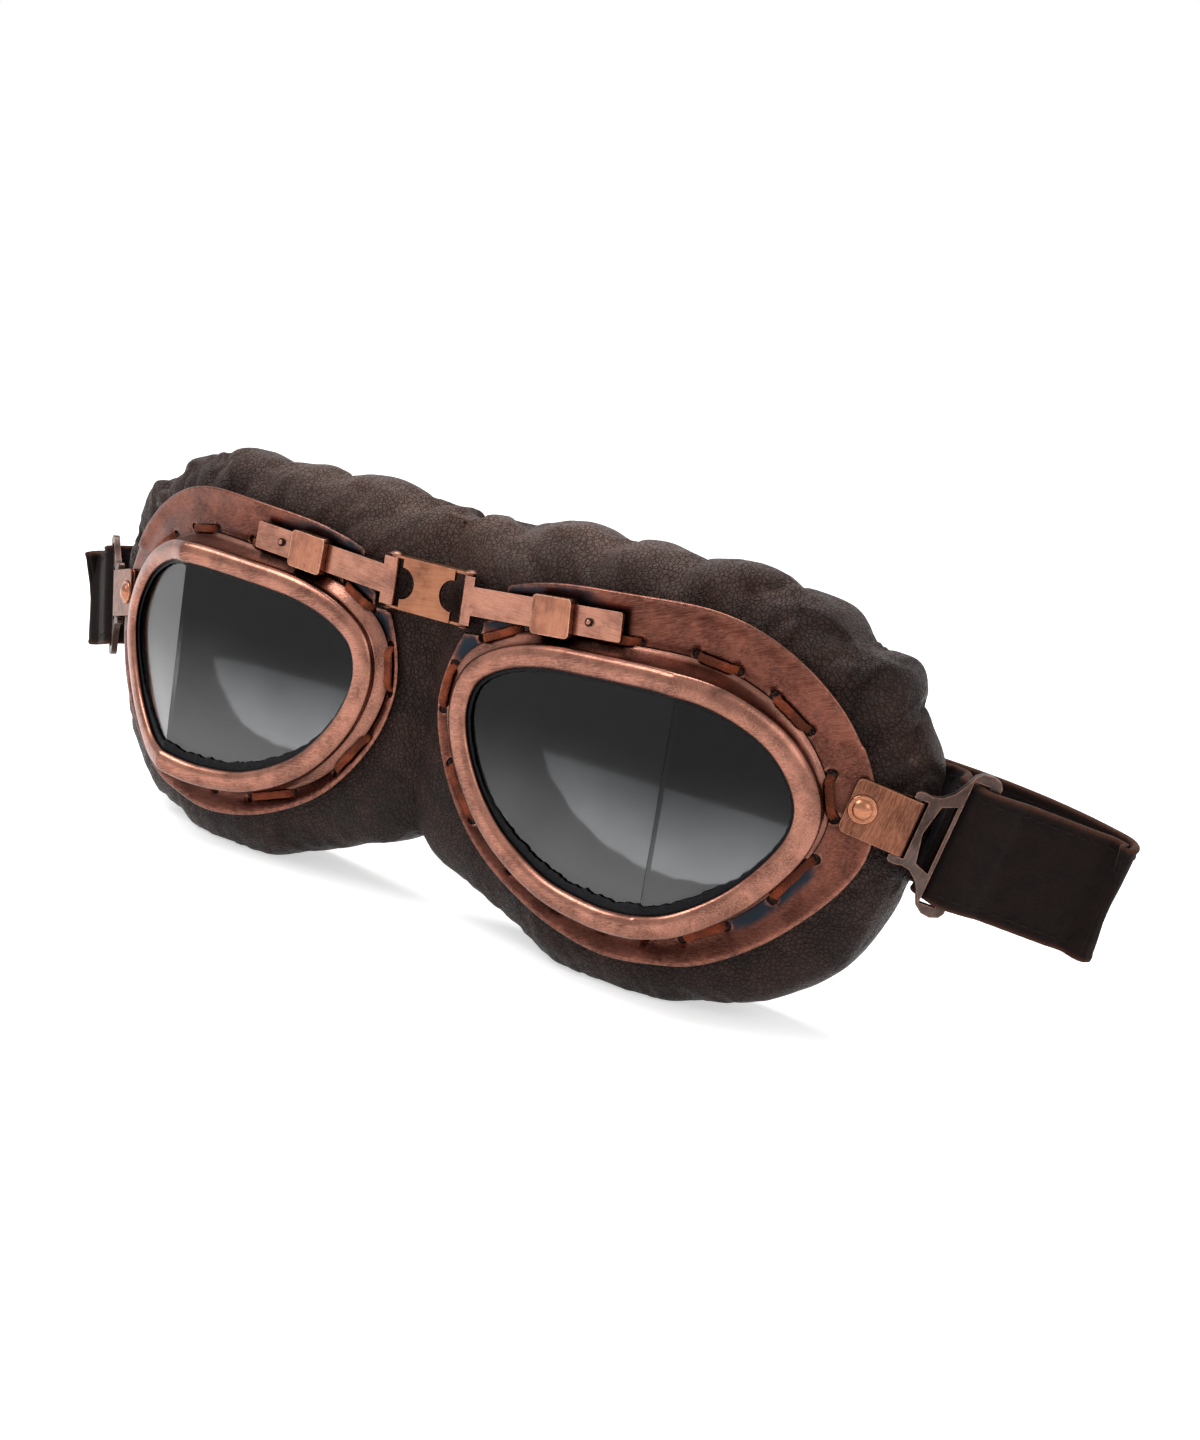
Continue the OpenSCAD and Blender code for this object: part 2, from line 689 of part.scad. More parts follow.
// Four corners of the band at point i of the route, square to its run
function strap_at(i) = [for (k = [0 : 2]) STRAP[i][k]];
function strap_ring(i) =
    let (
        last = len(STRAP) - 1,
        run = strap_at(min(last, i + 1)) - strap_at(max(0, i - 1)),
        t = run / norm(run),
        share = STRAP[i][3],
        p = strap_at(i),
        bar = [p[0] < 0 ? -bar_axis[0] : bar_axis[0], bar_axis[1], bar_axis[2]],
        guide = share * bar + (1 - share) * [0, 0, 1],
        up_raw = guide - (guide * t) * t,
        up = up_raw / norm(up_raw),
        side = cross(t, up)
    )
    [for (c = [[-1, -1], [-1, 1], [1, 1], [1, -1]])
        p + c[0] * strap_half * side + c[1] * strap_width / 2 * up];

module strap() {
    color("#2b1c16") seated()
        skin([for (i = [0 : len(STRAP) - 1]) strap_ring(i)], closed = false);
}

bridge_link();
left() hinge_pin();  // hinge_pin_left
hinge_pin();  // hinge_pin_right
left() arm();  // arm_left
arm();  // arm_right
left() keeper();  // keeper_left
keeper();  // keeper_right
left() flange();  // flange_left
flange();  // flange_right
left() bezel();  // bezel_left
bezel();  // bezel_right
left() gasket();  // gasket_left
gasket();  // gasket_right
left() lens_front();  // lens_front_left
lens_front();  // lens_front_right
left() lens_side();  // lens_side_left
lens_side();  // lens_side_right
left() retainer();  // retainer_left
retainer();  // retainer_right
left() lace();  // lace_left
lace();  // lace_right
left() cushion();  // cushion_left
cushion();  // cushion_right
left() lining();  // lining_left
lining();  // lining_right
left() tab();  // tab_left
tab();  // tab_right
left() rivet();  // rivet_left
rivet();  // rivet_right
left() buckle();  // buckle_left
buckle();  // buckle_right
strap();
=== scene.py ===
"""Laced leather riding goggles in antique copper, dressed over their fixed frame.

Lengths are in the part's own millimetres until a mesh is made. X runs to the wearer's
left, Y to the back and Z up, and the flange's middle lies at Y = 2.
"""
import itertools
import logging
import math
import random
from collections.abc import Sequence
from dataclasses import dataclass, field
from enum import Enum
from typing import NamedTuple

import bmesh
import bpy
import numpy as np
from mathutils import Matrix, Vector, geometry, noise


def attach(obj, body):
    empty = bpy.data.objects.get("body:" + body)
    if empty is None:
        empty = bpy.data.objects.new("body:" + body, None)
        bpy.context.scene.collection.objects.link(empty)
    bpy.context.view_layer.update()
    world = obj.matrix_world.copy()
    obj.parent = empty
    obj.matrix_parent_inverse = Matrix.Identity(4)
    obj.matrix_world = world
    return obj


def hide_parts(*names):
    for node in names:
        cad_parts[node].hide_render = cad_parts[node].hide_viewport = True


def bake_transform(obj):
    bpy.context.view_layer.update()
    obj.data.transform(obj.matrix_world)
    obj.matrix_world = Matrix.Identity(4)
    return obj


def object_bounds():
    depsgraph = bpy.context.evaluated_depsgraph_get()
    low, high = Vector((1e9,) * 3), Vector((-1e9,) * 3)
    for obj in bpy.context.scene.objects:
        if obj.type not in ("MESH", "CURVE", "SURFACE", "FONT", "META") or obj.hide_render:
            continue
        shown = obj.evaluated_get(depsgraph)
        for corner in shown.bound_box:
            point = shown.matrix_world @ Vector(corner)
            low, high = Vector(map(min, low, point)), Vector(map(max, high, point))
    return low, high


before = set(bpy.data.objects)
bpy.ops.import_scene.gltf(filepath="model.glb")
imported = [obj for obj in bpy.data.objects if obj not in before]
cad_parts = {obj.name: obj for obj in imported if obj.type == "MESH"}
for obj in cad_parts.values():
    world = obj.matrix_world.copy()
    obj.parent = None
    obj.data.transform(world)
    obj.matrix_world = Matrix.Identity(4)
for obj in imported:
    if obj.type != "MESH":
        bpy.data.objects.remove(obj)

log = logging.getLogger("goggles")
MM = 0.001
CAD_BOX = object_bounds()
Point = tuple[float, float, float]
Colour = tuple[float, float, float, float]


class Side(Enum):
    """The wearer's two sides, as the sign of X."""

    LEFT = -1
    RIGHT = 1

    @property
    def word(self) -> str:
        """The side's ending in the names of bodies and nodes."""
        return "left" if self is Side.LEFT else "right"

    def body(self, kind: str) -> str:
        """The body of a kind on this side; both sides share the bridge."""
        return kind if kind == "bridge" else f"{kind}_{self.word}"


def tint(red: float, green: float, blue: float) -> Colour:
    """Turn a screen colour into the shader's linear values.

    Args:
        red: Red from 0 to 255.
        green: Green from 0 to 255.
        blue: Blue from 0 to 255.

    Returns:
        The linear colour with full alpha.
    """
    def one(value: float) -> float:
        """Straighten one screen value."""
        share = value / 255
        return share / 12.92 if share <= 0.04045 else ((share + 0.055) / 1.055) ** 2.4
    return (one(red), one(green), one(blue), 1.0)


def smooth(value: float) -> float:
    """Ease a share that is cut to 0 and 1."""
    share = max(0.0, min(1.0, value))
    return share * share * (3 - 2 * share)


def ramp(values: np.ndarray, start: float, width: float) -> np.ndarray:
    """Rise from 0 at the start to 1 after the width."""
    return np.clip((values - start) / width, 0, 1)


def mixed(a: Sequence[float], b: Sequence[float], share: float) -> Point:
    """The point at a share of the way from a to b."""
    return tuple(p + (q - p) * share for p, q in zip(a, b))


def curve_between(a: Sequence[float], b: Sequence[float], c: Sequence[float],
                  d: Sequence[float], t: float) -> tuple[float, ...]:
    """Read a smooth curve through four points between its middle two.

    Args:
        a: The point before.
        b: The point at share 0.
        c: The point at share 1.
        d: The point after.
        t: The share of the way from b to c.

    Returns:
        The curve's values there.
    """
    return tuple(
        0.5 * (2 * q + (r - p) * t + (2 * p - 5 * q + 4 * r - s) * t * t
               + (3 * q - p - 3 * r + s) * t ** 3)
        for p, q, r, s in zip(a, b, c, d))


def spline(knots: Sequence[Sequence[float]], place: float) -> tuple[float, ...]:
    """Read a closed smooth curve through knots.

    Args:
        knots: The values at whole places.
        place: Where to read, in knots.

    Returns:
        The curve's values there.
    """
    whole = math.floor(place)
    near = (knots[(whole + step) % len(knots)] for step in (-1, 0, 1, 2))
    return curve_between(*near, place - whole)


@dataclass(frozen=True)
class Plan:
    """The goggles' driving sizes and the curves that every piece follows."""

    nose_half: float = 11.0
    rim_across: float = 82.0
    rim_height: float = 54.0
    rim_low: float = 15.5
    fold_reach: float = 54.0
    front_turn: float = 4.5
    side_turn: float = 25.5
    flange_y: float = 2.0
    wrap_start: float = 45.0
    wrap_radius: float = 120.0
    brims: tuple[float, ...] = (5.2, 6.9, 8.7, 12.5)
    brim_end: float = 19.0
    stitches: int = 11
    hinge_half: float = 10.0
    bridge_height: float = 72.0
    arm_rise: float = 3.9
    cushion_half: float = 107.5
    cushion_height: float = 90.0
    rivet: Point = (99.3, 14.285, 50.0)
    tab_turn: float = 24.35
    tab_reach: float = 9.0
    droop: float = 13.0
    buckle_turn: float = 12.0
    y_shift: float = -26.0
    rim_forward: float = 4.0
    first_hole: float = 3.7
    last_hole: float = 2.46
    hole_bow: float = 0.65
    hole_off: float = 2.4
    foot_shift: tuple[float, float] = (-1.3, 0.7)

    @property
    def rim_knots(self) -> list[tuple[float, float, float]]:
        """Shares of the rim's width and height, and which brim width counts."""
        fold = self.fold_reach / self.rim_across
        return [
            (0, 0.61, 0), (0.027, 0.79, 0.4), (0.119, 0.898, 3), (0.254, 0.961, 3),
            (0.436, 0.987, 3), (fold, 1, 3), (0.8, 0.952, 2.75), (0.925, 0.831, 2.3),
            (1, 0.639, 2), (0.99, 0.444, 2), (0.892, 0.218, 1.4), (0.768, 0.068, 1.1),
            (fold, 0.017, 1), (0.52, 0, 1), (0.346, 0.041, 0.3), (0.173, 0.18, 0.1),
            (0.053, 0.389, 0)]

    @property
    def pad_knots(self) -> list[tuple[float, float]]:
        """Shares of the cushion's half width and height at the same places."""
        return [
            (0, 0.58), (0, 0.79), (0.02, 0.965), (0.19, 0.996), (0.41, 1),
            (0.62, 0.989), (0.8, 0.946), (0.935, 0.833), (1, 0.64), (0.993, 0.425),
            (0.925, 0.195), (0.77, 0.046), (0.655, 0.006), (0.52, -0.006),
            (0.345, 0.016), (0.158, 0.094), (0, 0.21)]

    @property
    def knots(self) -> int:
        """How many knots go once round a cup."""
        return len(self.rim_knots)

    def rim_at(self, place: float) -> tuple[float, float]:
        """The rim line's X and Z at a place."""
        across, up, _ = spline(self.rim_knots, place)
        return (self.nose_half + self.rim_across * across, self.rim_low + self.rim_height * up)

    def outward(self, place: float) -> tuple[float, float]:
        """The direction out of the rim line.

        Args:
            place: Where round the cup, in knots.

        Returns:
            The direction's X and Z, of length 1.
        """
        ahead = self.rim_at(place + 0.02)
        behind = self.rim_at(place - 0.02)
        run = (ahead[0] - behind[0], ahead[1] - behind[1])
        size = math.hypot(*run)
        return (-run[1] / size, run[0] / size)

    def rim_out(self, place: float, off: float) -> tuple[float, float]:
        """Find a point by its distance out from the rim line.

        Args:
            place: Where round the cup, in knots.
            off: The distance out.

        Returns:
            The point's X and Z.
        """
        x, z = self.rim_at(place)
        out_x, out_z = self.outward(place)
        return (x + off * out_x, z + off * out_z)

    def brim_at(self, place: float) -> float:
        """Read the flange's width.

        Args:
            place: Where round the cup, in knots.

        Returns:
            The width out from the rim line.
        """
        mix = max(0.0, min(3.0, spline(self.rim_knots, place)[2]))
        low = min(2, int(mix))
        return self.brims[low] + (self.brims[low + 1] - self.brims[low]) * (mix - low)

    def flange_front(self, x: float) -> float:
        """The depth of the flange's front at X."""
        past = max(0.0, x - self.wrap_start)
        return self.flange_y + past * past / (2 * self.wrap_radius)

    def rim_front(self, x: float) -> float:
        """Read the depth of the rim's face, which folds between the two panes.

        Args:
            x: The distance from the middle.

        Returns:
            The depth in Y.
        """
        fold_x = self.nose_half + self.fold_reach
        front = math.tan(math.radians(self.front_turn))
        if x < fold_x:
            return self.flange_y - self.rim_forward - (x - self.nose_half) * front
        fold_face = self.flange_y - self.rim_forward - self.fold_reach * front
        return fold_face + (x - fold_x) * math.tan(math.radians(self.side_turn))

    def lace_at(self, hole: int) -> tuple[float, float]:
        """Place a stitch hole.

        Args:
            hole: The hole's number, counted clockwise from the keeper.

        Returns:
            The hole's X and Z.
        """
        share = hole / (2 * self.stitches - 1)
        last = self.knots + self.last_hole
        place = (self.first_hole + (last - self.first_hole) * share
                 - self.hole_bow * math.sin(math.pi * share))
        return self.at_foot(*self.rim_out(place, self.hole_off))

    def at_foot(self, x: float, z: float) -> tuple[float, float]:
        """Shift a point of the rim line to the wall's foot, which leans."""
        return (x + self.foot_shift[0], z + self.foot_shift[1])

    def world(self, point: Sequence[float], side: Side) -> Vector:
        """Take a point of the part to the scene's metres, on one side."""
        return Vector((side.value * point[0] * MM, (point[1] + self.y_shift) * MM,
                       point[2] * MM))

    def fitting(self, point: Sequence[float]) -> Point:
        """Take a point from the tab's frame to the part's.

        Args:
            point: X out from the rivet, Y into the flange, Z up.

        Returns:
            The point in the part's millimetres.
        """
        turned = (Matrix.Rotation(math.radians(self.tab_turn), 3, "Z")
                  @ Matrix.Rotation(math.radians(self.droop), 3, "Y") @ Vector(point))
        return tuple(Vector(self.rivet) + turned)

    def buckle_point(self, out: float, front: float) -> Point:
        """Take a point from the buckle's frame to the part's.

        Args:
            out: Distance outward from the pivot bar.
            front: Distance in front of the buckle's middle plane.

        Returns:
            The point in the part's millimetres.
        """
        turned = Matrix.Rotation(math.radians(self.buckle_turn), 3, "Z") @ Vector((out, -front, 0))
        return self.fitting((self.tab_reach + turned.x, turned.y, turned.z))

    def arm_point(self, point: Sequence[float]) -> Point:
        """Take a point from the sliding arm's frame to the part's.

        Args:
            point: X out from the hinge pin, Y into the part, Z up.

        Returns:
            The point in the part's millimetres.
        """
        rise = math.radians(self.arm_rise)
        x, y, z = point
        return (self.hinge_half + x * math.cos(rise) - z * math.sin(rise), y,
                self.bridge_height + x * math.sin(rise) + z * math.cos(rise))


PLAN = Plan()


def linked(name: str, data: bpy.types.ID) -> bpy.types.Object:
    """Make an object of its data in the scene.

    Args:
        name: The object's name.
        data: Its mesh, lamp or camera.

    Returns:
        The object, linked to the scene.
    """
    item = bpy.data.objects.new(name, data)
    bpy.context.scene.collection.objects.link(item)
    return item


def make_piece(name: str, points: Sequence[Sequence[float]], faces: Sequence[Sequence[int]],
               side: Side, values: dict[str, Sequence[float]] | None = None) -> bpy.types.Object:
    """Make an object from points in the part's millimetres.

    Args:
        name: The object's name.
        points: The points, as for the right side.
        faces: The faces, as indices of the points.
        side: The side to put it on.
        values: Named numbers, one for each point.

    Returns:
        The object, linked to the scene, with its faces turned outwards.
    """
    mesh = bpy.data.meshes.new(name)
    mesh.from_pydata([PLAN.world(p, side) for p in points], [], [list(f) for f in faces])
    for label, numbers in (values or {}).items():
        store = mesh.attributes.new(label, "FLOAT", "POINT")
        store.data.foreach_set("value", np.array(numbers, dtype=np.float32))
    turn_outwards(mesh)
    mesh.shade_smooth()
    return linked(name, mesh)


def turn_outwards(mesh: bpy.types.Mesh, drop_loose: bool = False) -> None:
    """Turn the faces of a closed mesh outwards.

    Args:
        mesh: The mesh.
        drop_loose: Whether points that no face uses are dropped.
    """
    work = bmesh.new()
    work.from_mesh(mesh)
    if drop_loose:
        loose = [v for v in work.verts if not v.link_faces]
        bmesh.ops.delete(work, geom=loose, context="VERTS")
    bmesh.ops.recalc_face_normals(work, faces=work.faces[:])
    work.to_mesh(mesh)
    work.free()


def ring_faces(rings: int, around: int, closed: bool = True) -> list[tuple[int, ...]]:
    """The faces of a skin through rings of points.

    Args:
        rings: How many rings there are.
        around: How many points each ring has.
        closed: Whether the last ring joins the first, or both ends are capped.

    Returns:
        The faces as indices.
    """
    spans = rings if closed else rings - 1
    faces: list[tuple[int, ...]] = []
    for i in range(spans):
        k = (i + 1) % rings
        for j in range(around):
            q = (j + 1) % around
            faces.append((i * around + j, k * around + j, k * around + q, i * around + q))
    if not closed:
        faces.append(tuple(range(around)))
        faces.append(tuple((rings - 1) * around + j for j in reversed(range(around))))
    return faces


def lathe(name: str, profile: Sequence[tuple[float, float]], middle: Point, axis: Vector,
          side: Side, turns: int = 40) -> bpy.types.Object:
    """Turn a profile round an axis.

    Args:
        name: The object's name.
        profile: Radius and height pairs from the top's middle round to the bottom's.
        middle: Where height 0 lies on the axis, in the part's millimetres.
        axis: The direction of height.
        side: The side to put it on.
        turns: How many steps go round.

    Returns:
        The closed piece.
    """
    axis = axis.normalized()
    across = axis.orthogonal().normalized()
    other = axis.cross(across)
    centre = Vector(middle)
    points = [tuple(centre + axis * profile[0][1])]
    for radius, height in profile[1:-1]:
        for i in range(turns):
            angle = math.tau * i / turns
            points.append(tuple(centre + axis * height + (
                across * math.cos(angle) + other * math.sin(angle)) * radius))
    points.append(tuple(centre + axis * profile[-1][1]))
    rows = len(profile) - 2
    faces: list[tuple[int, ...]] = []
    for i in range(turns):
        k = (i + 1) % turns
        faces.append((0, 1 + i, 1 + k))
        for row in range(rows - 1):
            a = 1 + row * turns
            faces.append((a + i, a + turns + i, a + turns + k, a + k))
        last = 1 + (rows - 1) * turns
        faces.append((len(points) - 1, last + k, last + i))
    piece = make_piece(name, points, faces, side)
    piece.data.set_sharp_from_angle(angle=math.radians(55))
    return piece


def dress(piece: bpy.types.Object, material: bpy.types.Material) -> bpy.types.Object:
    """Give an object one material in all its slots.

    Args:
        piece: The object.
        material: The material.

    Returns:
        The same object.
    """
    piece.data.materials.clear()
    piece.data.materials.append(material)
    return piece


class Shade:
    """Short calls for wiring a shader tree or node group."""

    def __init__(self, tree: bpy.types.NodeTree) -> None:
        """Keep the tree that the calls add to."""
        self.tree = tree

    def node(self, kind: str, **settings: object) -> bpy.types.Node:
        """Add a node and set its properties.

        Args:
            kind: The node's type.
            settings: Its properties by name.

        Returns:
            The node.
        """
        made = self.tree.nodes.new(kind)
        for label, value in settings.items():
            setattr(made, label, value)
        return made

    def put(self, source: object, target: bpy.types.NodeSocket) -> None:
        """Join a socket to a target, or set the target to a plain value.

        Args:
            source: A socket or a plain value.
            target: The input that takes it.
        """
        if isinstance(source, bpy.types.NodeSocket):
            self.tree.links.new(source, target)
        else:
            target.default_value = source

    def fill(self, node: bpy.types.Node, values: dict[str, object]) -> bpy.types.Node:
        """Join or set a node's inputs by name.

        Args:
            node: The node.
            values: A socket or a plain value for each input.

        Returns:
            The same node.
        """
        for label, value in values.items():
            self.put(value, node.inputs[label])
        return node

    def math(self, way: str, a: object, b: object = 0.0, cut: bool = False) -> bpy.types.NodeSocket:
        """Add a Math node.

        Args:
            way: The node's operation.
            a: The first value.
            b: The second value.
            cut: Whether the result is cut to 0 and 1.

        Returns:
            The node's value.
        """
        made = self.node("ShaderNodeMath", operation=way, use_clamp=cut)
        self.put(a, made.inputs[0])
        self.put(b, made.inputs[1])
        return made.outputs[0]

    def blend(self, share: object, a: object, b: object) -> bpy.types.NodeSocket:
        """Mix two colours.

        Args:
            share: How much of b there is.
            a: The colour at share 0.
            b: The colour at share 1.

        Returns:
            The mixed colour.
        """
        made = self.node("ShaderNodeMix", data_type="RGBA")
        self.put(share, made.inputs[0])
        self.put(a, made.inputs[6])
        self.put(b, made.inputs[7])
        return made.outputs[2]

    def span(self, value: object, low: float, high: float, start: object = 0.0,
             end: object = 1.0) -> bpy.types.NodeSocket:
        """Map a value from one range to another, eased and cut at the ends.

        Args:
            value: The value.
            low: Where the first range starts.
            high: Where the first range ends.
            start: The result at low.
            end: The result at high.

        Returns:
            The mapped value.
        """
        made = self.node("ShaderNodeMapRange", interpolation_type="SMOOTHSTEP")
        self.put(value, made.inputs[0])
        for slot, number in zip((1, 2, 3, 4), (low, high, start, end)):
            self.put(number, made.inputs[slot])
        return made.outputs[0]

    def noise(self, vector: object, scale: object, detail: float = 4.0,
              rough: float = 0.55, twist: float = 0.0) -> bpy.types.NodeSocket:
        """Add a noise pattern.

        Args:
            vector: The pattern's coordinates.
            scale: Its fineness.
            detail: How many finer layers it has.
            rough: How strong the finer layers are.
            twist: How far it is bent by itself.

        Returns:
            The pattern's factor.
        """
        made = self.node("ShaderNodeTexNoise")
        self.fill(made, {"Vector": vector, "Scale": scale, "Detail": detail,
                         "Roughness": rough, "Distortion": twist})
        return made.outputs[0]

    def place(self, vector: object, scale: Point = (1, 1, 1),
              turn: Point = (0, 0, 0)) -> bpy.types.NodeSocket:
        """Stretch and turn pattern coordinates.

        Args:
            vector: The coordinates.
            scale: The stretch on each axis.
            turn: The turn about each axis in degrees.

        Returns:
            The new coordinates.
        """
        made = self.node("ShaderNodeMapping")
        self.fill(made, {"Vector": vector, "Scale": scale,
                         "Rotation": [math.radians(a) for a in turn]})
        return made.outputs[0]

    def millimetres(self) -> bpy.types.NodeSocket:
        """The object's own coordinates, counted in millimetres."""
        return self.place(self.node("ShaderNodeTexCoord").outputs["Object"], (1000, 1000, 1000))

    def number(self, label: str) -> bpy.types.NodeSocket:
        """Read a named number from the mesh."""
        return self.node("ShaderNodeAttribute", attribute_name=label).outputs["Fac"]

    def group(self, tree: bpy.types.NodeTree, **values: object) -> bpy.types.Node:
        """Place a node group and set its inputs by name."""
        return self.fill(self.node("ShaderNodeGroup", node_tree=tree), values)

    def raise_surface(self, shader: bpy.types.Node, height: object, strength: float,
                      depth: float) -> None:
        """Bump a shader's surface.

        Args:
            shader: The main shader.
            height: The height pattern.
            strength: The bump's strength.
            depth: The pattern's full height in millimetres.
        """
        raised = self.node("ShaderNodeBump")
        self.fill(raised, {"Strength": strength, "Distance": depth * MM, "Height": height})
        self.put(raised.outputs[0], shader.inputs["Normal"])


def new_group(name: str, inputs: dict[str, tuple[str, object]],
              outputs: Sequence[str]) -> tuple[Shade, bpy.types.Node, bpy.types.Node]:
    """Start a shader node group with named inputs and number outputs.

    Args:
        name: The group's name.
        inputs: The kind and first value of each input.
        outputs: The names of the outputs.

    Returns:
        The group's wiring, its input node and its output node.
    """
    tree = bpy.data.node_groups.new(name, "ShaderNodeTree")
    for label, (kind, value) in inputs.items():
        socket = tree.interface.new_socket(label, in_out="INPUT", socket_type=f"NodeSocket{kind}")
        if value is not None:
            socket.default_value = value
    for label in outputs:
        tree.interface.new_socket(label, in_out="OUTPUT", socket_type="NodeSocketFloat")
    shade = Shade(tree)
    return shade, shade.node("NodeGroupInput"), shade.node("NodeGroupOutput")


class Patterns:
    """The surface effects that several finishes share, each built once."""

    def __init__(self) -> None:
        """Build all the groups."""
        self.brushing = self._brushing()
        self.edge_wear_and_glint = self._edge_wear_and_glint()
        self.hide_grain = self._hide_grain()
        self.cloth_weave = self._cloth_weave()

    def _brushing(self) -> bpy.types.NodeTree:
        """Long strokes of a brush or file along the first axis.

        Returns:
            The group's tree.
        """
        shade, given, out = new_group(
            "brushed strokes", {"Vector": ("Vector", None), "Fineness": ("Float", 1.0),
                                "Cut": ("Float", 0.5)}, ("Mask", "Height"))
        vector, fineness, cut = (given.outputs[label] for label in ("Vector", "Fineness", "Cut"))
        broad = shade.noise(shade.place(vector, (0.04, 1.0, 1.0)), fineness, 3, 0.6)
        fine = shade.noise(shade.place(vector, (0.08, 2.7, 2.7)), fineness, 3, 0.65, 0.3)
        both = shade.math("MULTIPLY", shade.math("ADD", broad, fine), 0.5)
        softness = 0.12
        low = shade.math("SUBTRACT", cut, softness)
        high = shade.math("ADD", cut, softness)
        shade.put(shade.span(both, low, high), out.inputs["Mask"])
        shade.put(both, out.inputs["Height"])
        return shade.tree

    def _edge_wear_and_glint(self) -> bpy.types.NodeTree:
        """Bright rubbed places and a painted highlight on a piece's convex edges, broken up by
        noise.

        Returns:
            The group's tree.
        """
        shade, given, out = new_group(
            "edge wear and glint", {"Vector": ("Vector", None), "Reach": ("Float", 0.3),
                          "Breakup": ("Float", 0.9)}, ("Mask",))
        rounded = shade.node("ShaderNodeBevel", samples=4)
        shade.put(shade.math("MULTIPLY", given.outputs["Reach"], MM), rounded.inputs["Radius"])
        same = shade.node("ShaderNodeVectorMath", operation="DOT_PRODUCT")
        shade.put(rounded.outputs[0], same.inputs[0])
        shade.put(shade.node("ShaderNodeNewGeometry").outputs["Normal"], same.inputs[1])
        turn = shade.span(shade.math("SUBTRACT", 1.0, same.outputs["Value"]), 0.015, 0.13)
        spots = shade.noise(given.outputs["Vector"], given.outputs["Breakup"], 4, 0.6)
        broken = shade.span(spots, 0.36, 0.58, 0.25, 1.0)
        shade.put(shade.math("MULTIPLY", turn, broken), out.inputs["Mask"])
        return shade.tree

    def _hide_grain(self) -> bpy.types.NodeTree:
        """Pebbled leather with fine cracks between the pebbles.

        Returns:
            The group's tree.
        """
        shade, given, out = new_group(
            "hide grain", {"Vector": ("Vector", None), "Pebbles": ("Float", 1.4)},
            ("Mask", "Height", "Cracks"))
        vector = given.outputs["Vector"]
        wobble = shade.fill(shade.node("ShaderNodeTexNoise"), {"Vector": vector, "Scale": 0.7})
        bent = shade.node("ShaderNodeVectorMath", operation="MULTIPLY_ADD")
        for slot, source in enumerate((wobble.outputs["Color"], (0.7, 0.7, 0.7), vector)):
            shade.put(source, bent.inputs[slot])
        cells = shade.node("ShaderNodeTexVoronoi", feature="DISTANCE_TO_EDGE")
        shade.fill(cells, {"Vector": bent.outputs[0], "Scale": given.outputs["Pebbles"]})
        pebble = shade.span(cells.outputs["Distance"], 0.0, 0.14)
        fine = shade.noise(vector, 2.4, 4, 0.6)
        folds = shade.noise(shade.place(vector, (1, 1, 1.6)), 0.42, 5, 0.7, 1.2)
        height = shade.math("ADD", shade.math("MULTIPLY", pebble, 0.6),
                            shade.math("MULTIPLY", fine, 0.35))
        height = shade.math("ADD", height, shade.math("MULTIPLY", folds, 0.8))
        shade.put(shade.noise(vector, 0.11, 5, 0.62, 0.4), out.inputs["Mask"])
        shade.put(height, out.inputs["Height"])
        shade.put(shade.math("SUBTRACT", 1.0, pebble), out.inputs["Cracks"])
        return shade.tree

    def _cloth_weave(self) -> bpy.types.NodeTree:
        """Close ribs across a band, with a soft nap.

        Returns:
            The group's tree.
        """
        shade, given, out = new_group(
            "cloth weave", {"Vector": ("Vector", None), "Ribs": ("Float", 1.0)},
            ("Mask", "Height"))
        vector = given.outputs["Vector"]
        ribs = shade.node("ShaderNodeTexWave", wave_type="BANDS", bands_direction="X")
        shade.fill(ribs, {"Vector": vector, "Scale": given.outputs["Ribs"], "Distortion": 1.2,
                          "Detail": 2.0, "Detail Scale": 2.5})
        nap = shade.noise(vector, 1.6, 5, 0.7)
        shade.put(shade.noise(vector, 0.25, 4, 0.6), out.inputs["Mask"])
        shade.put(shade.math("ADD", shade.math("MULTIPLY", ribs.outputs["Fac"], 0.35), nap),
                  out.inputs["Height"])
        return shade.tree


def start_material(name: str) -> tuple[bpy.types.Material, Shade, bpy.types.Node]:
    """Start a material with one main shader.

    Args:
        name: The material's name.

    Returns:
        The material, its wiring and its main shader.
    """
    material = bpy.data.materials.new(name)
    material.use_nodes = True
    shader = next(n for n in material.node_tree.nodes if n.type == "BSDF_PRINCIPLED")
    return material, Shade(material.node_tree), shader


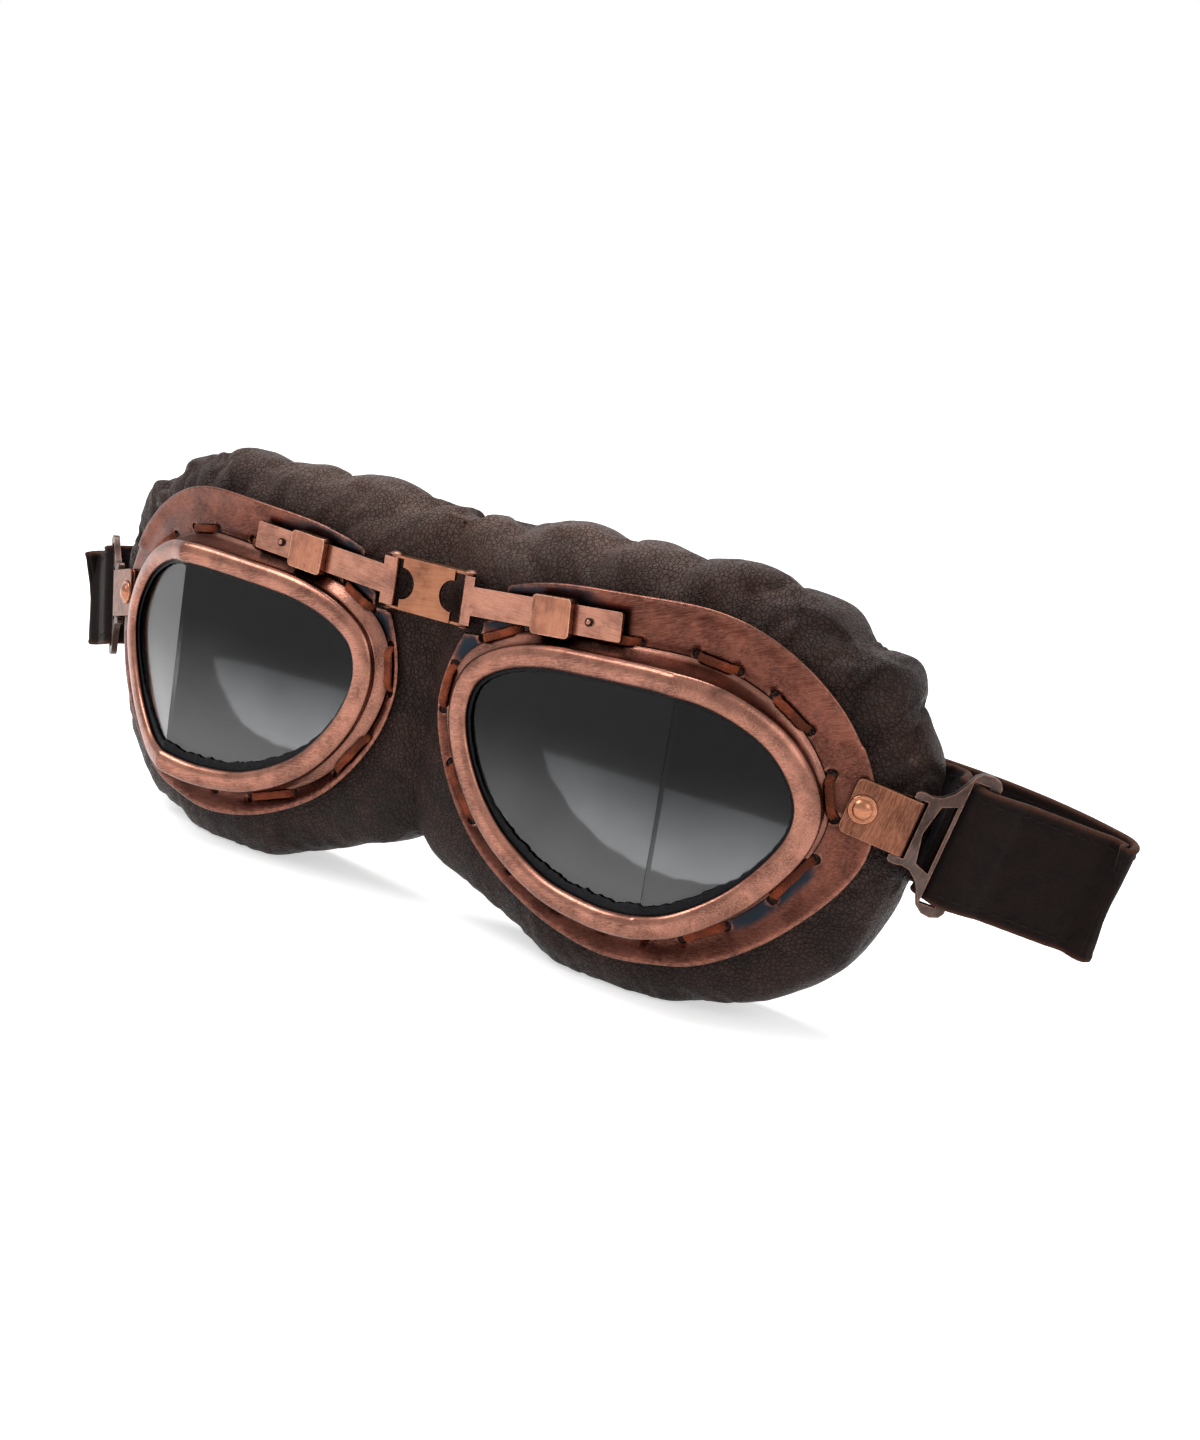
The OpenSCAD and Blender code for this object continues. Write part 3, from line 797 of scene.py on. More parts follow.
@dataclass(frozen=True)
class MetalFinish:
    """An aged metal: brushed, with painted shade in its hollows and edges rubbed bright with a
    painted highlight.
    """

    name: str
    main: Colour
    dark: Colour
    bright: Colour
    # The patina colour, which also serves as painted shade.
    patina_and_shade: Colour
    rough: tuple[float, float] = (0.28, 0.5)
    turn: Point = (0, 0, 0)
    fineness: float = 1.1
    bump: float = 0.08
    stroke_share: float = 0.55
    wear_and_glint: float = 0.3
    specks: float = 0.3
    # Painted shade in hollows, found by ambient occlusion: its strength, its reach and its colour.
    hollow_shade: float = 0.7
    hollow_shade_reach: float = 2.5
    hollow_shade_colour: Colour | None = None
    tone: str = ""

    def build(self, patterns: Patterns) -> bpy.types.Material:
        """Wire the material.

        Args:
            patterns: The shared surface effects.

        Returns:
            The finished material.
        """
        material, shade, shader = start_material(self.name)
        place = shade.millimetres()
        strokes = shade.group(patterns.brushing, Vector=shade.place(place, turn=self.turn),
                              Fineness=self.fineness, Cut=0.5)
        blotch = shade.noise(place, 0.13, 4, 0.6)
        colour = shade.blend(shade.span(blotch, 0.35, 0.65), self.dark, self.main)
        lit = shade.math("MULTIPLY", strokes.outputs["Mask"], self.stroke_share)
        colour = shade.blend(lit, colour, self.bright)
        aged_and_shaded = shade.span(shade.noise(place, 0.33, 5, 0.65), 0.56, 0.72, 0.0, self.specks)
        # The named number marks heat stains and also painted shade and a painted dark reflection; it
        # draws the colour towards the patina colour.
        if self.tone:
            edge = shade.math("ADD", shade.number(self.tone),
                              shade.math("MULTIPLY", shade.math("SUBTRACT", blotch, 0.5), 0.9))
            aged_and_shaded = shade.math("MAXIMUM", aged_and_shaded, shade.span(edge, 0.3, 0.75), cut=True)
        colour = shade.blend(aged_and_shaded, colour, self.patina_and_shade)
        # Painted shade, with some antique darkening: the colour darkens in the hollows that ambient
        # occlusion finds.
        if self.hollow_shade > 0:
            cover = shade.node("ShaderNodeAmbientOcclusion", samples=6)
            cover.inputs["Distance"].default_value = self.hollow_shade_reach * MM
            deep = shade.span(cover.outputs["AO"], 0.35, 0.95, self.hollow_shade, 0.0)
            colour = shade.blend(deep, colour, self.hollow_shade_colour or self.patina_and_shade)
        # Edge wear and a painted highlight: convex edges turn towards the bright colour.
        if self.wear_and_glint > 0:
            rubbed_and_lit = shade.group(patterns.edge_wear_and_glint, Vector=place, Reach=self.wear_and_glint)
            colour = shade.blend(rubbed_and_lit.outputs["Mask"], colour, self.bright)
        shade.put(colour, shader.inputs["Base Color"])
        shader.inputs["Metallic"].default_value = 1.0
        fine = shade.span(strokes.outputs["Height"], 0.35, 0.65, self.rough[1], self.rough[0])
        shade.put(shade.math("ADD", fine, shade.math("MULTIPLY", aged_and_shaded, 0.12)),
                  shader.inputs["Roughness"])
        shade.raise_surface(shader, strokes.outputs["Height"], self.bump, 0.4)
        return material


@dataclass(frozen=True)
class HideFinish:
    """Worn leather or suede, with a pebbled grain, paler rubbed places and painted light where a
    number asks.
    """

    name: str
    main: Colour
    dark: Colour
    rubbed_and_lit: Colour
    pebbles: float = 1.3
    grain: float = 0.35
    relief: float = 0.6
    rough: tuple[float, float] = (0.5, 0.75)
    tone: str = ""
    specular: float = 0.4

    def build(self, patterns: Patterns) -> bpy.types.Material:
        """Wire the material.

        Args:
            patterns: The shared surface effects.

        Returns:
            The finished material.
        """
        material, shade, shader = start_material(self.name)
        place = shade.millimetres()
        grain = shade.group(patterns.hide_grain, Vector=place, Pebbles=self.pebbles)
        colour = shade.blend(shade.span(grain.outputs["Mask"], 0.38, 0.62), self.dark, self.main)
        worn = shade.span(shade.noise(place, 0.22, 6, 0.68, 0.5), 0.55, 0.75, 0.0, 0.8)
        # Painted light: where the named number is high, the colour turns towards the rubbed colour.
        if self.tone:
            tone = shade.number(self.tone)
            worn = shade.math("MULTIPLY", worn, shade.math("ADD", tone, 0.25), cut=True)
            worn = shade.math("MAXIMUM", worn, shade.math("MULTIPLY", tone, 0.65))
        colour = shade.blend(worn, colour, self.rubbed_and_lit)
        lines = shade.math("MULTIPLY", grain.outputs["Cracks"], 0.38)
        colour = shade.blend(lines, colour, self.dark)
        shade.put(colour, shader.inputs["Base Color"])
        shade.put(shade.span(grain.outputs["Height"], 0.5, 1.5, self.rough[1], self.rough[0]),
                  shader.inputs["Roughness"])
        shader.inputs["Specular IOR Level"].default_value = self.specular
        shade.raise_surface(shader, grain.outputs["Height"], self.grain, self.relief)
        return material


@dataclass(frozen=True)
class BandFinish:
    """A close, suede-like elastic band whose folded edges are a paler copper brown."""

    name: str
    main: Colour
    dark: Colour
    edge: Colour
    ribs: float = 0.9
    nap: float = 0.5

    def build(self, patterns: Patterns) -> bpy.types.Material:
        """Wire the material.

        Args:
            patterns: The shared surface effects.

        Returns:
            The finished material.
        """
        material, shade, shader = start_material(self.name)
        along = shade.node("ShaderNodeUVMap", uv_map="along").outputs[0]
        weave = shade.group(patterns.cloth_weave, Vector=along, Ribs=self.ribs)
        colour = shade.blend(shade.span(weave.outputs["Mask"], 0.35, 0.65), self.dark, self.main)
        fleck = shade.span(shade.noise(along, 1.3, 6, 0.75), 0.58, 0.74, 0.0, 0.22)
        colour = shade.blend(fleck, colour, self.edge)
        rim = shade.math("MULTIPLY", shade.number("rolled"),
                         shade.span(shade.noise(along, 0.5, 5, 0.7), 0.25, 0.55, 0.35, 1.0))
        colour = shade.blend(rim, colour, self.edge)
        shade.put(colour, shader.inputs["Base Color"])
        rough = shade.span(weave.outputs["Height"], 0.3, 1.1, 0.95, 0.7)
        shade.fill(shader, {"Roughness": rough, "Specular IOR Level": 0.1, "Sheen Weight": 0.05,
                            "Sheen Roughness": 0.5})
        shade.raise_surface(shader, weave.outputs["Height"], self.nap, 0.3)
        return material


@dataclass(frozen=True)
class GlassFinish:
    """Smoked glass with painted shade at its top, painted light towards its lower edge, and faint
    wipe marks.
    """

    name: str
    top: Colour
    low: Colour
    fade: tuple[float, float] = (24.0, 58.0)

    def build(self, patterns: Patterns) -> bpy.types.Material:
        """Wire the material.

        Args:
            patterns: The shared surface effects.

        Returns:
            The finished material.
        """
        material, shade, shader = start_material(self.name)
        place = shade.millimetres()
        height = shade.node("ShaderNodeSeparateXYZ")
        shade.put(place, height.inputs[0])
        # Painted shade and light: the tint darkens towards the top and pales towards the bottom, and
        # the coat's reflection grows towards the bottom.
        level = shade.math("ADD", height.outputs[2],
                           shade.math("MULTIPLY", shade.noise(place, 0.05, 2, 0.5), 9.0))
        shade.put(shade.blend(shade.span(level, *self.fade), self.low, self.top),
                  shader.inputs["Base Color"])
        wipes = shade.group(patterns.brushing, Vector=shade.place(place, turn=(0, 35, 0)),
                            Fineness=0.25, Cut=0.55)
        rough = shade.span(wipes.outputs["Height"], 0.3, 0.7, 0.09, 0.18)
        coat = shade.span(level, *self.fade, 0.9, 0.0)
        shade.fill(shader, {"Roughness": rough, "Transmission Weight": 1.0, "IOR": 1.24,
                            "Coat Weight": coat, "Coat IOR": 1.65, "Coat Roughness": 0.12})
        return material


@dataclass(frozen=True)
class SoftFinish:
    """Plain matt rubber, thread or lining cloth with a fine uneven surface."""

    name: str
    main: Colour
    dark: Colour
    rough: float = 0.8
    scale: float = 1.5
    bump: float = 0.3

    def build(self, patterns: Patterns) -> bpy.types.Material:
        """Wire the material.

        Args:
            patterns: The shared surface effects.

        Returns:
            The finished material.
        """
        material, shade, shader = start_material(self.name)
        place = shade.millimetres()
        fine = shade.noise(place, self.scale, 5, 0.65)
        shade.put(shade.blend(shade.span(fine, 0.35, 0.65), self.dark, self.main),
                  shader.inputs["Base Color"])
        shade.put(shade.span(fine, 0.3, 0.7, self.rough, self.rough - 0.15),
                  shader.inputs["Roughness"])
        shader.inputs["Specular IOR Level"].default_value = 0.12
        shade.raise_surface(shader, fine, self.bump, 0.25)
        return material


def inside(points: np.ndarray, loop: Sequence[Sequence[float]]) -> np.ndarray:
    """Which flat points lie inside a closed loop.

    Args:
        points: The points, one per row.
        loop: The loop's corners in order.

    Returns:
        True for each point that lies inside.
    """
    corners = np.array(loop)
    after = np.roll(corners, -1, axis=0)
    found = np.zeros(len(points), dtype=bool)
    for (x0, y0), (x1, y1) in zip(corners, after):
        crosses = (y0 > points[:, 1]) != (y1 > points[:, 1])
        if y0 == y1 or not crosses.any():
            continue
        at_x = x0 + (points[:, 1] - y0) * (x1 - x0) / (y1 - y0)
        found ^= crosses & (points[:, 0] < at_x)
    return found


def spread(loop: Sequence[Sequence[float]], step: float) -> list[tuple[float, float]]:
    """Space the points of a closed flat loop evenly.

    Args:
        loop: The loop's corners in order.
        step: The spacing aimed at.

    Returns:
        The corners, with points between them.
    """
    result: list[tuple[float, float]] = []
    for a, b in zip(loop, list(loop[1:]) + [loop[0]]):
        count = max(1, round(math.dist(a, b) / step))
        result += [tuple(mixed(a, b, i / count)) for i in range(count)]
    return result


def thinned(loop: Sequence[Sequence[float]], step: float) -> list[tuple[float, float]]:
    """Drop the points of a loop that stand closer than a step.

    Args:
        loop: The loop's points in order.
        step: The least spacing.

    Returns:
        The points that stay.
    """
    result = [tuple(loop[0])]
    for p in loop[1:]:
        if math.dist(p, result[-1]) >= step:
            result.append(tuple(p))
    if math.dist(result[0], result[-1]) < step:
        result.pop()
    return result


def drawn_in(loop: Sequence[Sequence[float]], by: float) -> list[tuple[float, float]]:
    """Move a clockwise loop's points inward, square to its run.

    Args:
        loop: The loop's points in order.
        by: How far they move.

    Returns:
        The moved points.
    """
    count = len(loop)
    result = []
    for i, (x, y) in enumerate(loop):
        ahead = loop[(i + 1) % count]
        behind = loop[i - 1]
        run = (ahead[0] - behind[0], ahead[1] - behind[1])
        size = math.hypot(*run) or 1.0
        result.append((x + by * run[1] / size, y - by * run[0] / size))
    return result


class DarkPatch(NamedTuple):
    """A soft dark patch for heat stains, a painted shadow and a painted reflection: middle, half
    sizes, soft edge, strength.
    """

    x: float
    z: float
    wide: float
    high: float
    edge: float
    most: float

    def at(self, x: float, z: float) -> float:
        """How strong the stain is at a point."""
        gap = math.hypot((x - self.x) / self.wide, (z - self.z) / self.high)
        return smooth(self.edge - gap) * self.most


@dataclass
class EyeCup:
    """One cup: the dished flange, the rolled rim, the seal round the glass and the laces."""

    side: Side
    plan: Plan = PLAN
    flange_grid: float = 1.15
    flange_thick: float = 0.7
    edge_lift: float = 1.2
    lip_wide: float = 4.2
    top_half: float = 62.0
    trough: float = 0.35
    trough_wide: float = 2.4
    edge_round: float = 0.32
    hole_radius: float = 1.0
    notch_corner: tuple[float, float, float] = (14.4, 65.15, 76.45)
    stations_per_knot: int = 16
    lace_wide: float = 1.75
    lace_thick: float = 0.75
    lace_rise: float = 0.95
    lace_points: int = 13
    wall_middle: float = -1.2
    hole_corners: int = 18
    rivet_hole: float = 1.26
    collar: float = 0.28
    edge_front: float = 0.24
    edge_back: float = 0.4
    # Heat patina patches; the keeper's patch is also a painted shadow, and the fold's patch on the
    # rim is a painted dark reflection.
    keeper_stain_and_shadow: DarkPatch = DarkPatch(33, 70.5, 17, 11, 1.35, 1.0)
    nose_stain: DarkPatch = DarkPatch(15, 60, 11, 11, 1.2, 0.8)
    low_stain: DarkPatch = DarkPatch(87, 27, 17, 17, 1.3, 0.8)
    fold_reflection: DarkPatch = DarkPatch(75, 66.5, 11, 6, 1.2, 0.42)
    rim_line: np.ndarray = field(init=False)

    def __post_init__(self) -> None:
        """Measure the rim line once."""
        steps = 20
        self.rim_line = np.array(
            [self.plan.rim_at(i / steps) for i in range(steps * self.plan.knots)])

    def rim_gap(self, x: float, z: float) -> float:
        """The distance of a point from the rim line."""
        return float(np.hypot(self.rim_line[:, 0] - x, self.rim_line[:, 1] - z).min())

    def flange_outline(self) -> list[tuple[float, float]]:
        """Draw the flange's outer edge, with its square end and hinge corner.

        Returns:
            The edge's points, clockwise.
        """
        plan = self.plan
        wall_x, low_z, high_z = self.notch_corner
        per_knot = 24
        steps = [i / per_knot for i in range(per_knot * plan.knots)]
        narrow = [plan.rim_out(s, min(plan.brim_at(s), plan.brims[1])) for s in steps]
        wide = [plan.rim_out(s, plan.brim_at(s)) for s in steps]
        turn = next(i for i, p in enumerate(narrow) if p[0] >= plan.brim_end and steps[i] > 1)
        start = next(i for i, p in enumerate(wide) if p[0] >= plan.brim_end + 1.5 and steps[i] > 1)
        loop: list[tuple[float, float]] = []
        was_cut = False
        for i in range(turn):
            x, z = narrow[i]
            cut = x < wall_x and low_z < z < high_z
            if cut and not was_cut:
                loop += [(x, low_z), (wall_x - 0.5, low_z), (wall_x, low_z + 0.5)]
            if was_cut and not cut:
                loop.append((wall_x, z - 0.4))
            if not cut:
                loop.append((x, z))
            was_cut = cut
        top = wide[start][1]
        end = plan.brim_end
        loop += [(end, narrow[turn][1] + 0.3), (end, top - 1.6), (end + 0.18, top - 0.9),
                 (end + 0.6, top - 0.35)]
        loop += wide[start:]
        return thinned(loop, 0.3)

    def flange_y(self, x: float, z: float, outline: np.ndarray) -> float:
        """Read the depth of the flange's dished front.

        Args:
            x: The point's X.
            z: The point's Z.
            outline: The flange's outer edge, finely spaced.

        Returns:
            The depth in Y, with the lifted edge and the sunk lacing trough.
        """
        off = self.rim_gap(x, z)
        edge = float(np.hypot(outline[:, 0] - x, outline[:, 1] - z).min())
        if z > self.top_half:
            full = smooth((x - self.plan.brim_end) / 8)
        else:
            full = smooth((30 - z) / 20 + 0.6)
        lift = self.edge_lift * (0.35 + 0.65 * full) * smooth((self.lip_wide - edge) / self.lip_wide)
        sink = self.trough * smooth(1 - abs(off - 2.2) / self.trough_wide)
        return self.plan.flange_front(x) - lift + sink

    def tone_at(self, x: float, z: float) -> float:
        """Tell how blue-black the flange is: heat patina, with painted shade next to the wall and a
        painted shadow by the keeper.

        Args:
            x: The point's X.
            z: The point's Z.

        Returns:
            The strength from 0 to 1.
        """
        off = self.rim_gap(x, z)
        # Next to the wall the colour darkens as painted shade with some patina; the keeper's patch
        # is painted shadow as well as patina.
        inner = 0.25 * smooth(1.25 - off / 4.5)
        low_side = self.low_stain.at(x, z) * smooth(1.35 - off / 4)
        top_end = smooth((30 - x) / 9) * 0.85 if z > 68 else 0.0
        return min(1.0, max(inner, self.keeper_stain_and_shadow.at(x, z), self.nose_stain.at(x, z), low_side,
                            top_end))

    def flange(self) -> bpy.types.Object:
        """Build the dished copper brim with its stitch holes.

        Returns:
            The flange.
        """
        plan = self.plan
        outer = self.flange_outline()
        lip = thinned(drawn_in(outer, self.edge_round), 0.22)
        per_knot = 12
        inner = [plan.rim_out(i / per_knot, self.wall_middle) for i in range(per_knot * plan.knots)]
        centres = [plan.lace_at(i) for i in range(2 * plan.stitches)] + [
            (plan.rivet[0], plan.rivet[2])]
        radii = [self.hole_radius] * (2 * plan.stitches) + [self.rivet_hole]
        corners = self.hole_corners

        def circle(centre: tuple[float, float], radius: float) -> list[tuple[float, float]]:
            """The points round a hole."""
            return [(centre[0] + radius * math.sin(a * math.tau / corners),
                     centre[1] + radius * math.cos(a * math.tau / corners))
                    for a in range(corners)]
        holes = [circle(c, r) for c, r in zip(centres, radii)]
        collars = [circle(c, r + self.collar) for c, r in zip(centres, radii)]
        loops = [outer, lip, inner] + holes + collars
        edge_line = np.array(spread(outer, 0.6))
        kinds: list[int] = []
        flat: list[tuple[float, float]] = []
        edges: list[tuple[int, int]] = []
        for index, loop in enumerate(loops):
            first = len(flat)
            flat += loop
            kinds += [0 if index in (0, 2) or 3 <= index < 3 + len(holes) else 1] * len(loop)
            edges += [(first + i, first + (i + 1) % len(loop)) for i in range(len(loop))]
        xs = [p[0] for p in outer]
        zs = [p[1] for p in outer]
        step = self.flange_grid
        rows = [(x, z) for i in range(int((max(xs) - min(xs)) / step) + 1)
                for j in range(int((max(zs) - min(zs)) / step) + 1)
                for x in [min(xs) + (i + 0.5 * (j % 2)) * step] for z in [min(zs) + j * step]]
        grid = np.array(rows)
        fixed = np.array(flat)
        keep = inside(grid, lip) & ~inside(grid, inner)
        for number, (x, z) in enumerate(rows):
            if keep[number]:
                near = float(np.hypot(fixed[:, 0] - x, fixed[:, 1] - z).min())
                in_hole = any(math.dist((x, z), c) < r for c, r in zip(centres, radii))
                if near > 0.45 and not in_hole:
                    flat.append((x, z))
                    kinds.append(1)
        made = geometry.delaunay_2d_cdt([Vector(p) for p in flat], edges, [], 0, 1e-5)
        points2, triangles, origins = made[0], made[2], made[3]
        middles = np.array([[sum(points2[i][k] for i in f) / 3 for k in (0, 1)]
                            for f in triangles])
        good = inside(middles, outer) & ~inside(middles, inner)
        for hole in holes:
            good &= ~inside(middles, hole)
        faces = [tuple(f) for f, keep_it in zip(triangles, good) if keep_it]
        rim_rows = [all(kinds[o] == 0 for o in origins[i]) and bool(origins[i])
                    for i in range(len(points2))]
        front = []
        tones = []
        for i, p in enumerate(points2):
            y = self.flange_y(p[0], p[1], edge_line)
            front.append((p[0], y + (self.edge_front if rim_rows[i] else 0.0), p[1]))
            tones.append(self.tone_at(p[0], p[1]))
        count = len(front)
        back = [(x, y + self.flange_thick - (self.edge_back if rim_rows[i] else 0.0), z)
                for i, (x, y, z) in enumerate(front)]
        sheet = list(faces) + [tuple(count + i for i in reversed(f)) for f in faces]
        half: dict[tuple[int, int], int] = {}
        for f in faces:
            for a, b in zip(f, f[1:] + f[:1]):
                half[(a, b)] = half.get((a, b), 0) + 1
        sheet += [(b, a, count + a, count + b) for (a, b) in half if (b, a) not in half]
        piece = make_piece(f"brim_{self.side.word}", front + back, sheet, self.side,
                           {"tone": tones + tones})
        turn_outwards(piece.data, drop_loose=True)
        return piece

    def bead_profile(self, place: float) -> list[Point]:
        """One cut through the wall and the rolled rim.

        Args:
            place: Where round the cup, in knots.

        Returns:
            The cut's points in order, from the foot round the bead and back down.
        """
        plan = self.plan
        top_x = plan.rim_out(place, 0)[0]
        sunk = 0.05
        floor_y = plan.flange_front(top_x) - sunk

        def low(off: float, up: float = 0.0) -> Point:
            """A point beside the cup's foot."""
            x, z = plan.at_foot(*plan.rim_out(place, off))
            return (x, plan.flange_front(x) - sunk - up, z)

        def at(off: float, down: float) -> Point:
            """A point beside the rim's face."""
            x, z = plan.rim_out(place, off)
            return (x, plan.rim_front(x) + down, z)
        deep = at(0, 2.4)
        foot = low(1.15, 0.5)
        wall = []
        for share, pinch in ((0.2, 0.2), (0.45, 0.34), (0.7, 0.34), (0.9, 0.2)):
            p = mixed(foot, deep, share)
            out = plan.outward(place)
            wall.append((p[0] - pinch * out[0], p[1], p[2] - pinch * out[1]))
        bead = [at(off, down) for off, down in (
            (0.05, 2.3), (0.2, 1.85), (0.24, 1.4), (0.12, 0.95), (-0.2, 0.55), (-0.75, 0.22),
            (-1.45, 0.02), (-2.25, -0.06), (-3.05, 0.0), (-3.75, 0.22), (-4.25, 0.6),
            (-4.55, 1.1), (-4.62, 1.6), (-4.4, 1.72), (-1.6, 1.72))]
        neck = min(plan.rim_front(top_x) + 3, floor_y - 0.5)
        neck_x, neck_z = plan.rim_out(place, -1.45)
        return [low(1.75, -0.02), low(1.6, 0.28), foot] + wall + bead + [
            (neck_x, neck, neck_z), low(0.1)]

    def bezel(self) -> bpy.types.Object:
        """Build the cup's wall and its broad rolled rim.

        Returns:
            The bezel; its number tone holds painted shade at the foot and inner lip and a painted
            reflection by the fold.
        """
        plan = self.plan
        count = self.stations_per_knot * plan.knots
        rings = [self.bead_profile(i / self.stations_per_knot) for i in range(count)]
        around = len(rings[0])
        # Painted shade: darker at the wall's foot, with some patina, and on the inner lip; the
        # fold's patch is a painted dark reflection.
        tones = []
        for ring in rings:
            for j, (x, y, z) in enumerate(ring):
                foot = smooth(1 - (plan.flange_front(x) - y) / 2.2)
                lip = 1.0 if j >= around - 6 else 0.0
                tones.append(max(0.5 * foot, 0.55 * lip, self.fold_reflection.at(x, z)))
        return make_piece(f"rim_{self.side.word}", [p for ring in rings for p in ring],
                          ring_faces(count, around), self.side, {"tone": tones})

    def gasket(self) -> bpy.types.Object:
        """Build the soft black seal with its ragged inner edge.

        Returns:
            The seal.
        """
        plan = self.plan
        per_knot = 24
        count = per_knot * plan.knots
        rings = []
        for i in range(count):
            place = i / per_knot
            x, z = plan.rim_out(place, -4.6)
            low = smooth((36 - z) / 14)
            torn = noise.noise(Vector((x * 0.55, z * 0.55, 3.1))) * 0.5
            torn += noise.noise(Vector((x * 1.9, z * 1.9, 7.7))) * 0.22
            inner = -5.05 - 0.75 * low - (0.4 + 0.9 * low) * (0.5 + torn)
            ring = []
            for off, down in ((-1.9, 1.76), (-4.5, 1.76), (inner + 0.12, 1.8), (inner, 2.0),
                              (inner + 0.1, 2.2), (-1.9, 2.2)):
                px, pz = plan.rim_out(place, off)
                ring.append((px, plan.rim_front(px) + down, pz))
            rings.append(ring)
        return make_piece(f"seal_{self.side.word}", [p for ring in rings for p in ring],
                          ring_faces(count, len(rings[0])), self.side)

    def lace_paths(self) -> bpy.types.Object:
        """Lay the middle line of every stitch, from hole to hole.

        Returns:
            An object of lines, with the way that the thong faces at each point.
        """
        plan = self.plan
        outline = np.array(spread(self.flange_outline(), 0.8))
        mesh = bpy.data.meshes.new("lace lines")
        points: list[Vector] = []
        edges: list[tuple[int, int]] = []
        chance = random.Random(11)
        for stitch in range(plan.stitches):
            a = plan.lace_at(2 * stitch)
            b = plan.lace_at(2 * stitch + 1)
            run = ((b[0] - a[0]) / math.dist(a, b), (b[1] - a[1]) / math.dist(a, b))
            a = (a[0] + 0.1 * run[0], a[1] + 0.1 * run[1])
            b = (b[0] - 0.1 * run[0], b[1] - 0.1 * run[1])
            sway = chance.uniform(-0.22, 0.22)
            spans = self.lace_points - 1
            for i in range(self.lace_points):
                share = i / spans
                x, z = mixed(a, b, share)
                x += -run[1] * sway * math.sin(math.pi * share)
                z += run[0] * sway * math.sin(math.pi * share)
                edge = min(share, 1 - share) * spans
                rise = self.lace_rise * smooth(edge / 1.8) - (0.75 if edge < 0.5 else 0.0)
                y = self.flange_y(x, z, outline) - rise * (0.85 + 0.15 * math.sin(math.pi * share))
                points.append(plan.world((x, y, z), self.side))
                if i:
                    edges.append((len(points) - 2, len(points) - 1))
        mesh.from_pydata(points, edges, [])
        piece = linked(f"lace_{self.side.word}_hide", mesh)
        leans = [max(0.0, abs(p.x) / MM - plan.wrap_start) / plan.wrap_radius for p in points]
        face_lines(piece, [Vector((self.side.value * lean, -1, 0)).normalized() for lean in leans])
        return piece


class FlatLace:
    """A geometry tree that lays a flat thong or thread along lines."""

    def __init__(self) -> None:
        """Build the tree once."""
        self.tree = bpy.data.node_groups.new("flat lace", "GeometryNodeTree")
        face = self.tree.interface
        face.new_socket("Geometry", in_out="INPUT", socket_type="NodeSocketGeometry")
        for label, value in (("Width", 2.0 * MM), ("Thickness", 0.7 * MM), ("Corner", 0.2 * MM),
                             ("Unevenness", 0.1)):
            size = face.new_socket(label, in_out="INPUT", socket_type="NodeSocketFloat")
            size.default_value = value
        face.new_socket("Seed", in_out="INPUT", socket_type="NodeSocketInt").default_value = 4
        face.new_socket("Material", in_out="INPUT", socket_type="NodeSocketMaterial")
        face.new_socket("Geometry", in_out="OUTPUT", socket_type="NodeSocketGeometry")
        self._wire()

    def _wire(self) -> None:
        """Lay the nodes: lines, their facing, the thong's cut, and the material."""
        shade = Shade(self.tree)
        given = shade.node("NodeGroupInput")
        out = shade.node("NodeGroupOutput")
        lines = shade.fill(shade.node("GeometryNodeMeshToCurve"),
                           {"Mesh": given.outputs["Geometry"]})
        facing = shade.fill(shade.node("GeometryNodeInputNamedAttribute", data_type="FLOAT_VECTOR"),
                            {"Name": "facing"})
        turned = shade.fill(shade.node("GeometryNodeSetCurveNormal", mode="FREE"),
                            {"Curve": lines.outputs[0], "Normal": facing.outputs[0]})
        cut = shade.fill(shade.node("GeometryNodeCurvePrimitiveQuadrilateral"),
                         {"Width": given.outputs["Thickness"], "Height": given.outputs["Width"]})
        rounded = shade.fill(shade.node("GeometryNodeFilletCurve", mode="POLY"),
                             {"Count": 2, "Limit Radius": True, "Curve": cut.outputs[0],
                              "Radius": given.outputs["Corner"]})
        uneven = shade.node("FunctionNodeRandomValue", data_type="FLOAT")
        shade.put(shade.math("SUBTRACT", 1.0, given.outputs["Unevenness"]), uneven.inputs[2])
        shade.put(shade.math("ADD", 1.0, given.outputs["Unevenness"]), uneven.inputs[3])
        shade.put(given.outputs["Seed"], uneven.inputs["Seed"])
        thong = shade.fill(shade.node("GeometryNodeCurveToMesh"),
                           {"Curve": turned.outputs[0], "Profile Curve": rounded.outputs[0],
                            "Scale": uneven.outputs[1], "Fill Caps": True})
        whole = shade.fill(shade.node("GeometryNodeRealizeInstances"),
                           {"Geometry": thong.outputs[0]})
        dressed = shade.fill(shade.node("GeometryNodeSetMaterial"),
                             {"Geometry": whole.outputs[0], "Material": given.outputs["Material"]})
        shade.put(dressed.outputs[0], out.inputs["Geometry"])

    def lay(self, lines: bpy.types.Object, name: str, material: bpy.types.Material,
            **sizes: float) -> bpy.types.Object:
        """Turn lines into a plain mesh of thongs.

        Args:
            lines: The object that holds the lines; it is used up.
            name: The finished object's name.
            material: The thong's material.
            sizes: The tree's inputs by name.

        Returns:
            The finished object.
        """
        layer = lines.modifiers.new("lay", "NODES")
        layer.node_group = self.tree
        sockets = {item.name: item.identifier for item in self.tree.interface.items_tree
                   if item.in_out == "INPUT"}
        layer[sockets["Material"]] = material
        for label, value in sizes.items():
            layer[sockets[label]] = value
        bpy.context.view_layer.update()
        ready = lines.evaluated_get(bpy.context.evaluated_depsgraph_get())
        mesh = bpy.data.meshes.new_from_object(ready)
        mesh.name = name
        mesh.shade_smooth()
        mesh.set_sharp_from_angle(angle=math.radians(50))
        piece = linked(name, mesh)
        bpy.data.objects.remove(lines)
        return dress(piece, material)


